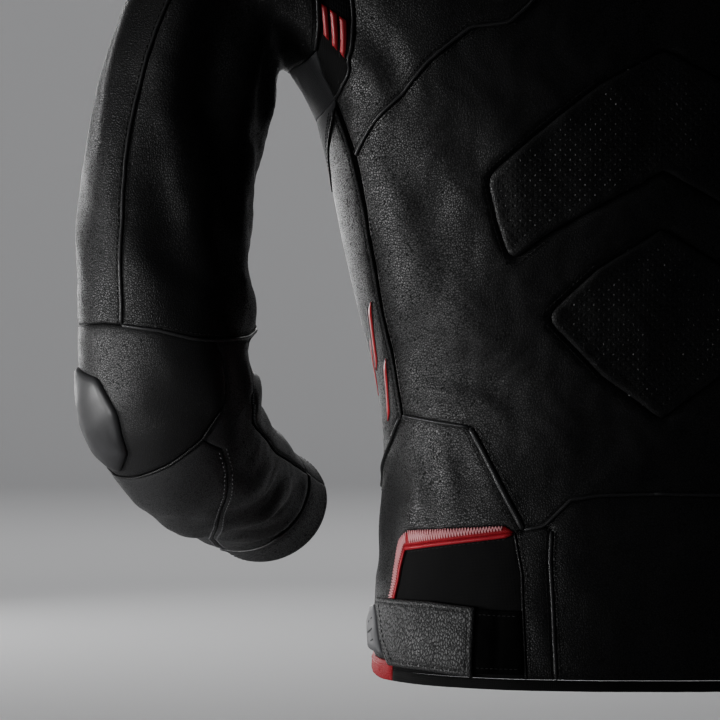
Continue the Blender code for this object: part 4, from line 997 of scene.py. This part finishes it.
# ======== Elbows: a padded leather piece wraps the back of the bend, and a hard-wearing rubber cup is fixed
# over its outer side.
ELBOW_HIDE = leather("elbow_cowhide", (0.004, 0.004, 0.0042), (0.011, 0.011, 0.0114), 0.0013, 0.00008, 0.42)
# The forearms' cowhide has a finer grain and is coloured lighter than the rest: painted light on the
# forearms.
ARM_HIDE_PAINTED_LIGHT = leather("forearm_cowhide_painted_light", (0.012, 0.012, 0.0126), (0.038, 0.038, 0.039), 0.0011, 0.00006, 0.42)
ELBOW_SIDE = [(129, 0.2977), (134.5, 0.308), (136.5, 0.320), (134, 0.329), (129, 0.335)]
ELBOW_LOW = [(129, 0.335), (113, 0.347), (89, 0.356), (61, 0.364), (35, 0.370), (5, 0.362), (-12, 0.345)]
ELBOW_FRONT = [(-12, 0.345), (-18, 0.320), (-12, 0.296)]
pair("elbow", "sleeve", ELBOW_FRONT[2:] + [(50, 0.289)] + ELBOW_TOP[:3] + ELBOW_SIDE + ELBOW_LOW[1:-1]
     + ELBOW_FRONT[:2], ELBOW_HIDE, step=0.0045, puff=0.0012)
pair("elbow_cup", "sleeve", [(-8, 0.330, 0.006), (8, 0.316, 0.010), (45, 0.316, 0.010), (60, 0.330, 0.008),
     (62, 0.350, 0.006), (50, 0.3625, 0.008), (8, 0.3625, 0.010), (-8, 0.348, 0.006)], RUBBER, "black_rubber",
     wall=0.0032, lift=0.0042, step=0.0030, roll=0.0022, puff=0.0010, soft=False)


# ======== Forearms: three leather pieces round a closed zip that opens the cuff. The seam that curves from
# the elbow to the cuff is sewn with two rows of thread.
CUFF_SEAM = 0.487
CUFF_END = 0.526
FOREARM_SEAM = [(113, 0.347), (126, 0.357), (126, 0.372), (119, 0.387), (105, 0.408), (93, 0.426), (78, 0.45),
                (70, CUFF_SEAM)]
ZIP_LINE = [(164, 0.338), (158.5, 0.357), (167, 0.374), (175, 0.393), (182, 0.435), (193, CUFF_SEAM)]
ZIP_WIDTH = 5.5
ZIP_LINE_FRONT = [(turn + ZIP_WIDTH, along) for turn, along in ZIP_LINE]
ZIP_TOP = [(166.7, 0.338), (174, 0.300)]
CUFF_TURN = 196
CUFF_TOOTH_PITCH = 0.0013
CUFF_TOOTH_DEPTH = 0.0009  # below the leather's face
CUFF_TOOTH_SHIFT = 0.0004  # the teeth lie to the one side and the other by turns
CUFF_TOOTH_SIZE = (0.0020, 0.0008, 0.0010)
pair("forearm_back", "sleeve", ELBOW_LOW[1:] + [(-45, 0.350), (-95, 0.345), (-95, CUFF_SEAM)]
     + FOREARM_SEAM[:0:-1], ARM_HIDE_PAINTED_LIGHT, step=0.0035)
pair("forearm_inner", "sleeve", ELBOW_SIDE + ELBOW_LOW[1:2] + FOREARM_SEAM[1:] + [(130, CUFF_SEAM)]
     + ZIP_LINE[::-1] + ZIP_TOP + [(165, 0.300), (132, 0.298)], ARM_HIDE_PAINTED_LIGHT, step=0.0026)
pair("forearm_front", "sleeve", ZIP_LINE_FRONT
     + [(265, CUFF_SEAM), (265, 0.345), (315, 0.350), (348, 0.345), (342, 0.320), (348, 0.296)]
     + [(300, 0.300), (250, 0.300), (INNER_SEAM, 0.300)] + ZIP_TOP[::-1], ARM_HIDE_PAINTED_LIGHT)
# The zip's strip is the near-black seam cloth: partly the zip's tape, partly painted shade in its groove.
pair("cuff_zip", "sleeve", ZIP_LINE + ZIP_LINE_FRONT[::-1], SEAM_CLOTH_AND_GAP_SHADE, "black_cloth",
     wall=0.0010, lift=-0.0013, step=0.003, roll=0.0002)
pair("cuff", "sleeve", [(CUFF_TURN, CUFF_SEAM), (CUFF_TURN + 360, CUFF_SEAM), (CUFF_TURN + 360, CUFF_END),
     (CUFF_TURN, CUFF_END)], SLEEVE_HIDE, step=0.0045)
for side in ("left", "right"):
    turn, along, _ = run("sleeve", [(t + ZIP_WIDTH / 2, a) for t, a in ZIP_LINE], CUFF_TOOTH_PITCH)
    middle, out = on_cloth("sleeve", turn, along, -CUFF_TOOTH_DEPTH, side == "right")
    down = direction(np.gradient(middle, axis=0))
    across = np.cross(down, out)
    width, length, height = CUFF_TOOTH_SIZE
    middle[::2] -= CUFF_TOOTH_SHIFT * across[::2]
    middle[1::2] += CUFF_TOOTH_SHIFT * across[1::2]
    places = [(m, a * width / 2, d * length / 2, o * height / 2)
              for m, a, d, o in zip(middle, across, down, out)]
    little_blocks(f"cuff_zip_teeth_{side}", places, ZIP_METAL)


# ======== Piping: leather-covered cord caught in the main seams. It stands up as a thin round ridge.
# The piping's leather is coloured lighter than the cowhide beside it: a painted highlight along the ridges.
PIPE = leather("piping_leather", (0.012, 0.012, 0.013), (0.02, 0.02, 0.021), 0.001, 0.00003, 0.34, shine=0.6)
TUBE_STEP = 0.0035
END_DIVE = 1.6  # radii that a ridge's ends go down into the seam


def tubes(name, runs, finish, radius, lift, sides=8):
    """Thin round ridges along lines on the pattern, both sides of the jacket, as one object."""
    points, faces = [], []
    turns = [2 * math.pi * s / sides for s in range(sides)]
    for surface, line in runs:
        for mirrored in (False, True):
            first, second, _ = run(surface, line, TUBE_STEP)
            (first_a, second_a), (first_b, second_b) = line[0][:2], line[-1][:2]
            first, second = [first_a, *first, first_b], [second_a, *second, second_b]
            middle, out = on_cloth(surface, np.array(first, float), np.array(second, float), lift, mirrored)
            middle[[0, -1]] -= END_DIVE * radius * out[[0, -1]]
            across = np.cross(direction(np.gradient(middle, axis=0)), out)
            start, last = len(points), len(points) + (len(middle) - 1) * sides
            for m, a, o in zip(middle, across, out):
                points += [m + radius * (math.cos(turn) * a + math.sin(turn) * o) for turn in turns]
            for ring in range(start, last, sides):
                for s in range(sides):
                    a, b = ring + s, ring + (s + 1) % sides
                    faces.append((a, b, b + sides, a + sides))
            faces.append(tuple(start + s for s in reversed(range(sides))))
            faces.append(tuple(last + s for s in range(sides)))
    sewn_on(name, points, faces, finish)


HIP_BACK_SEAM = [WAIST_TOP[0], HIP_CORNER]
SLEEVE_BACK_SEAM = [(BACK_SEAM, 0.03), (BACK_SEAM, 0.289)]
ARMHOLE_BACK = armhole_edge(ARMHOLE_TIP, 15)
tubes("piping", [
    ("body", [(-1, YOKE_SEAM[0][1])] + YOKE_SEAM[1:]), ("body", ARMHOLE_BACK), ("body", WAIST_TOP),
    ("body", HIP_SEAM[:-1]), ("body", [(-1, LOW_BACK_SEAM[0][1])] + LOW_BACK_SEAM[1:]), ("body", STRIP_INNER),
    ("sleeve", ELBOW_TOP), ("sleeve", SLEEVE_BACK_SEAM), ("sleeve", STRETCH_EDGE[1:]),
    ("sleeve", [(turn, CUFF_SEAM) for turn in (62, 100, 150, 193)]),
], PIPE, 0.0012, 0.0002)
tubes("thin_piping", [("body", WINDOW_INNER), ("body", STRETCH_SEAM), ("sleeve", ELBOW_LOW)], HIDE,
      0.0008, 0.0001, sides=6)
tubes("neck_piping", [("collar", [(-1, 0), (FRONT_NECK - 1, 0)])], HIDE, 0.0018, -0.0004)
tubes("waist_piping", [("body", HIP_BACK_SEAM)], PIPE, 0.0019, 0.0004)
RED_PIPE = leather("red_piping_leather", (0.46, 0.006, 0.02), (0.54, 0.01, 0.026), 0.001, 0.00003, 0.36,
                   shine=0.5)
TRIM_PIPING = [(19.5, -0.527), (20.4, -0.5286), (36.25, -0.5387)]
TRIM_LEG_PIPING = [(36.25, -0.5391), (38.3, -0.572)]
tubes("trim_piping", [("body", TRIM_PIPING)], RED_PIPE, 0.0013, 0.0004)
tubes("trim_leg_piping", [("body", TRIM_LEG_PIPING)], RED_PIPE, 0.0008, 0.0006)


# ======== Stitching: bonded thread in rows beside the seams, black on most of them and grey on the forearm's
# curved seam. The red leather is sewn with red and pale thread.
THREAD = shader("black_thread", (0.005, 0.005, 0.005), 0.75)[0]
RED_THREAD = shader("red_thread", (0.50, 0.05, 0.06), 0.5)[0]
GREY_THREAD = shader("grey_thread", (0.14, 0.14, 0.145), 0.5)[0]
PALE_THREAD = shader("pale_red_thread", (0.75, 0.30, 0.32), 0.45)[0]
THREAD_WIDTH = 0.00055
THREAD_HEIGHT = 0.00040
STITCH = 0.0032
STITCH_LENGTH = 0.0022


def stitches(name, rows, finish, pitch=STITCH, length=STITCH_LENGTH):
    """Rows of stitches: (surface, line on the pattern, distances to the line's left in mm, lift in mm)."""
    places = []
    sides = [(row, offset, mirrored) for row in rows for offset in row[2] for mirrored in (False, True)]
    for (surface, line, _, lift), offset, mirrored in sides:
        first, second, way = run(surface, line, pitch, offset / 1000)
        middle, out = on_cloth(surface, first, second, lift / 1000, mirrored)
        ahead = 5e-4 * way
        first, second = first + ahead[:, 0] / SURFACES[surface][1](second), second + ahead[:, 1]
        forward = direction(on_cloth(surface, first, second, lift / 1000, mirrored)[0] - middle)
        across = np.cross(forward, out)
        places += [(m, a * THREAD_WIDTH / 2, f * length / 2, o * THREAD_HEIGHT / 2)
                   for m, a, f, o in zip(middle, across, forward, out)]
    little_blocks(name, places, finish, taper=0.6)


STRAP_ROW = [(24.6, -0.5757), (31, -0.5732), (42.6, -0.5742), (40.3, -0.598), (38.0, -0.6095), (31, -0.6100),
             (24.6, -0.6125)]
STRAP_END_ROW = [(41.0, -0.5750), (38.9, -0.598), (36.9, -0.6090)]
TRIM_ROW = [(TRIM_LOW[0][0], TRIM_LOW[0][1] - 0.003), (35.9, -0.5410)]
stitches("black_stitches", [
    ("body", YOKE_SEAM, (3.0, -3.0), 0.1),
    ("body", ARMHOLE_BACK, (-3.5, -7.5), 0.1),
    ("body", SIDE_LINE_BACK[1:], (-2.6,), 0.1),
    ("body", SIDE_LINE_FRONT, (2.6,), 0.1),
    ("body", STRETCH_SEAM[1:], (2.8, 5.2), 0.1),
    ("body", WAIST_TOP, (3.2, -3.2), 0.1),
    ("body", HIP_BACK_SEAM, (4.5, -4.5), 0.1),
    ("body", HIP_SEAM[:-1], (3.0, -3.0), 0.1),
    ("body", LOW_BACK_SEAM, (3.2, -3.2), 0.1),
    ("body", STRIP_INNER, (3.0, -3.0), 0.5),
    ("body", WINDOW_INNER, (-3.2,), 0.4),
    ("body", TRIM_ROW, (0,), -0.4),
    ("sleeve", ELBOW_TOP, (3.0,), 0.1),
    ("sleeve", ELBOW_TOP, (-3.0,), 0.3),
    ("sleeve", SLEEVE_BACK_SEAM, (3.0,), 0.1),
    ("sleeve", STRETCH_EDGE[1:], (3.0,), 0.1),
    ("sleeve", ELBOW_LOW[1:4], (3.0,), 0.1),
    ("sleeve", ZIP_LINE, (-2.6,), 0.1),
    ("sleeve", ZIP_LINE_FRONT, (2.6,), 0.1),
    ("sleeve", [(turn, CUFF_SEAM - 0.003) for turn in (40, 100, 186)], (0,), 0.1),
    ("sleeve", [(CUFF_TURN + turn, CUFF_END - 0.005) for turn in (6, 180, 354)], (0,), 0.1),
    ("body", STRAP_ROW, (0,), 3.9),
    ("body", STRAP_END_ROW, (0,), 4.7),
    ("body", [(18.4, -0.5775), (23.6, -0.577)], (0,), 2.0),
    ("body", [(18.0, -0.6095), (23.6, -0.6095)], (0,), 2.0),
    ("body", ZIP_SIDE, (-4.0, -6.5), 0.1),
    ("body", [(63, HEM + 0.006), (98, HEM + 0.006)], (0,), 0.1),
    ("body", [(1, HEM_BAND_TOP + 0.003), (17, HEM_BAND_TOP + 0.003)], (0,), 1.2),
], THREAD)
stitches("forearm_stitches", [("sleeve", FOREARM_SEAM[1:], (2.8, -2.8), 0.4)], GREY_THREAD, pitch=0.0026,
         length=0.0014)
stitches("insert_stitches", [("body", cut[1:-1], (2.8,), 0.1) for cut in (UPPER_INSERT, LOWER_INSERT)],
         THREAD)
stitches("red_stitches", [("body", [(39, -0.6135), (61, -0.6135)], (0,), 0.2)], RED_THREAD,
         pitch=0.0024, length=0.0016)


def zigzag(name, rows, finish, pitch, width):
    """Close slanted stitches between lines on the body's pattern: (upper line, lower line, lift)."""
    places = []
    for upper, lower, lift in rows:
        top, bottom = (run("body", line, pitch)[:2] for line in (upper, lower))
        count = len(top[0])
        bottom = [np.interp(np.linspace(0, 1, count), np.linspace(0, 1, len(at)), at) for at in bottom]
        for mirrored in (False, True):
            high, out = on_cloth("body", *top, lift, mirrored)
            low, _ = on_cloth("body", *bottom, lift, mirrored)
            for k in range(count - 1):
                places.append(between(high[k], low[k], out[k], width, THREAD_HEIGHT))
                places.append(between(low[k], high[k + 1], out[k], width, THREAD_HEIGHT))
    little_blocks(name, places, finish, taper=0.7)


zigzag("trim_zigzag", [
    ([(20.6, -0.5223), (35.7, -0.5272)], [(20.8, -0.5252), (35.6, -0.5354)], 0.0011),
    ([(35.8, -0.5277), (37.6, -0.5332), (39.9, -0.572)],
     [(35.8, -0.5351), (36.5, -0.5365), (38.8, -0.572)], 0.0010),
], PALE_THREAD, 0.0020, 0.0008)


# ======== Red bars: plain bars of raised rubber print, on the side strips and on the shoulder inserts. Two
# of them have a silver edge.
BAR = rubber("red_print", (0.50, 0.012, 0.022), 0.4)
BAR_EDGE = rubber("silver_print", (0.42, 0.42, 0.43), 0.4)
BAR_THICKNESS = 0.0006


def bar_cut(start, end, width, slant):
    """A bar between two places on the body's pattern, its ends cut on a slant."""
    (a, b), (c, d) = start, end
    return [(a - width / 2, b + slant), (a + width / 2, b - slant), (c + width / 2, d - slant),
            (c - width / 2, d + slant)]


def bars(name, surface, cuts, lift, finish):
    """Plain flat bars on the cloth, each a four-cornered outline on the pattern."""
    points, faces = [], []
    unit = SURFACES[surface][1]
    for outline in cuts:
        middle = float(np.mean([p[0] for p in outline]))
        edge = flat_cut(outline, middle, unit, False, 0.0, 0.002)
        rim = ring_edges(len(edge))
        found, triangles = triangulated(edge, rim)
        first = found[:, 0] / unit(found[:, 1]) + middle
        for mirrored in (False, True):
            top, out = on_cloth(surface, first, found[:, 1], lift, mirrored)
            start, count = len(points), len(top)
            points += list(top) + list(top - BAR_THICKNESS * out)
            solid = [tuple(f[::-1]) for f in triangles] + [tuple(f + count) for f in triangles]
            solid += [(a, b, b + count, a + count) for a, b in rim]
            faces += [tuple(int(start + c) for c in (f[::-1] if mirrored else f)) for f in solid]
    sewn_on(name, points, faces, finish)


bars("side_bars", "body", [bar_cut((40.3, -0.386), (43.2, -0.424), 1.5, 0.003),
                           bar_cut((43.6, -0.408), (47.2, -0.440), 1.5, 0.003),
                           bar_cut((39.7, -0.422), (41.6, -0.456), 1.2, 0.003)], 0.0004, BAR)
bars("side_bar_edges", "body", [bar_cut((41.45, -0.388), (44.35, -0.424), 0.4, 0.002),
                                bar_cut((44.8, -0.409), (48.4, -0.440), 0.4, 0.002)], 0.0005, BAR_EDGE)
bars("shoulder_bars", "sleeve", [[(92, 0.0028), (113, 0.0032), (112, 0.0058), (92, 0.0056)],
                                 [(92, 0.0070), (112, 0.0072), (111, 0.0098), (92, 0.0098)],
                                 [(92, 0.0112), (110, 0.0114), (109, 0.0138), (92, 0.0136)]], 0.0004, BAR)


# ======== Floor, light and camera: a plain pale studio, whose floor curves up into its wall all round, soft
# lights, and a close view from behind.
FLOOR_HEIGHT = -0.72
FLOOR_RADIUS = 5.4
WALL_CURVE = 1.6
WALL_TOP = 2.6
RIM_STEPS = 96
WALL_STEPS = 12
profile = [(0.02, FLOOR_HEIGHT), (FLOOR_RADIUS, FLOOR_HEIGHT)]
for step in range(1, WALL_STEPS + 1):
    angle = math.radians(90 * step / WALL_STEPS)
    up = WALL_CURVE * (1 - math.cos(angle))
    profile.append((FLOOR_RADIUS + WALL_CURVE * math.sin(angle), FLOOR_HEIGHT + up))
profile.append((FLOOR_RADIUS + WALL_CURVE, WALL_TOP))
rim_turns = [2 * math.pi * k / RIM_STEPS for k in range(RIM_STEPS)]
floor_points = [(r * math.cos(t), r * math.sin(t), z) for r, z in profile for t in rim_turns]
floor_faces = [tuple(range(RIM_STEPS))]
for ring in range(len(profile) - 1):
    for k in range(RIM_STEPS):
        after = (k + 1) % RIM_STEPS
        floor_faces.append((ring * RIM_STEPS + k, (ring + 1) * RIM_STEPS + k, (ring + 1) * RIM_STEPS + after,
                            ring * RIM_STEPS + after))
floor = mesh_object("floor", floor_points, floor_faces, [shader("pale_floor", (0.70, 0.70, 0.71), 0.9)[0]])

world = bpy.data.worlds.new("studio")
world.use_nodes = True
world.node_tree.nodes["Background"].inputs["Color"].default_value = (0.93, 0.95, 1.0, 1)
world.node_tree.nodes["Background"].inputs["Strength"].default_value = 0.05
bpy.context.scene.world = world


def soft_light(name, place, target, size, power_w, spread=180):
    lamp = bpy.data.lights.new(name, "AREA")
    lamp.shape, lamp.size, lamp.energy = "DISK", size, power_w
    lamp.spread = math.radians(spread)
    thing = bpy.data.objects.new(name, lamp)
    thing.location = place
    thing.rotation_euler = (Vector(target) - Vector(place)).to_track_quat("-Z", "Y").to_euler()
    bpy.context.collection.objects.link(thing)


soft_light("side_light", (1.9, 0.10, -0.56), (0.10, 0.1, -0.38), 0.4, 0.45, 22)
soft_light("low_light", (1.5, 1.1, -0.60), (0.33, 0.0, -0.54), 0.3, 0.34, 18)
soft_light("rim_light", (1.2, -1.5, -0.3), (0.2, 0.0, -0.42), 0.5, 8)
soft_light("arm_light", (-0.3, -1.4, 0.5), (0.27, -0.08, -0.47), 0.4, 3)
soft_light("front_light", (0.5, -2.4, 0.1), (0.0, 0.0, -0.25), 1.2, 3, 60)
soft_light("wall_light_left", (1.6, -1.8, 1.9), (0.3, -6.8, -0.6), 1.2, 45)
soft_light("wall_light_right", (-1.6, -1.8, 1.9), (-0.3, -6.8, -0.6), 1.2, 45)

lens = bpy.data.cameras.new("camera")
lens.sensor_width, lens.lens = 36.0, 153.8
camera = bpy.data.objects.new("camera", lens)
camera.location = (0.185, 2.0, -0.420)
camera.rotation_euler = (math.radians(90), 0, math.radians(180))
bpy.context.collection.objects.link(camera)
bpy.context.scene.camera = camera
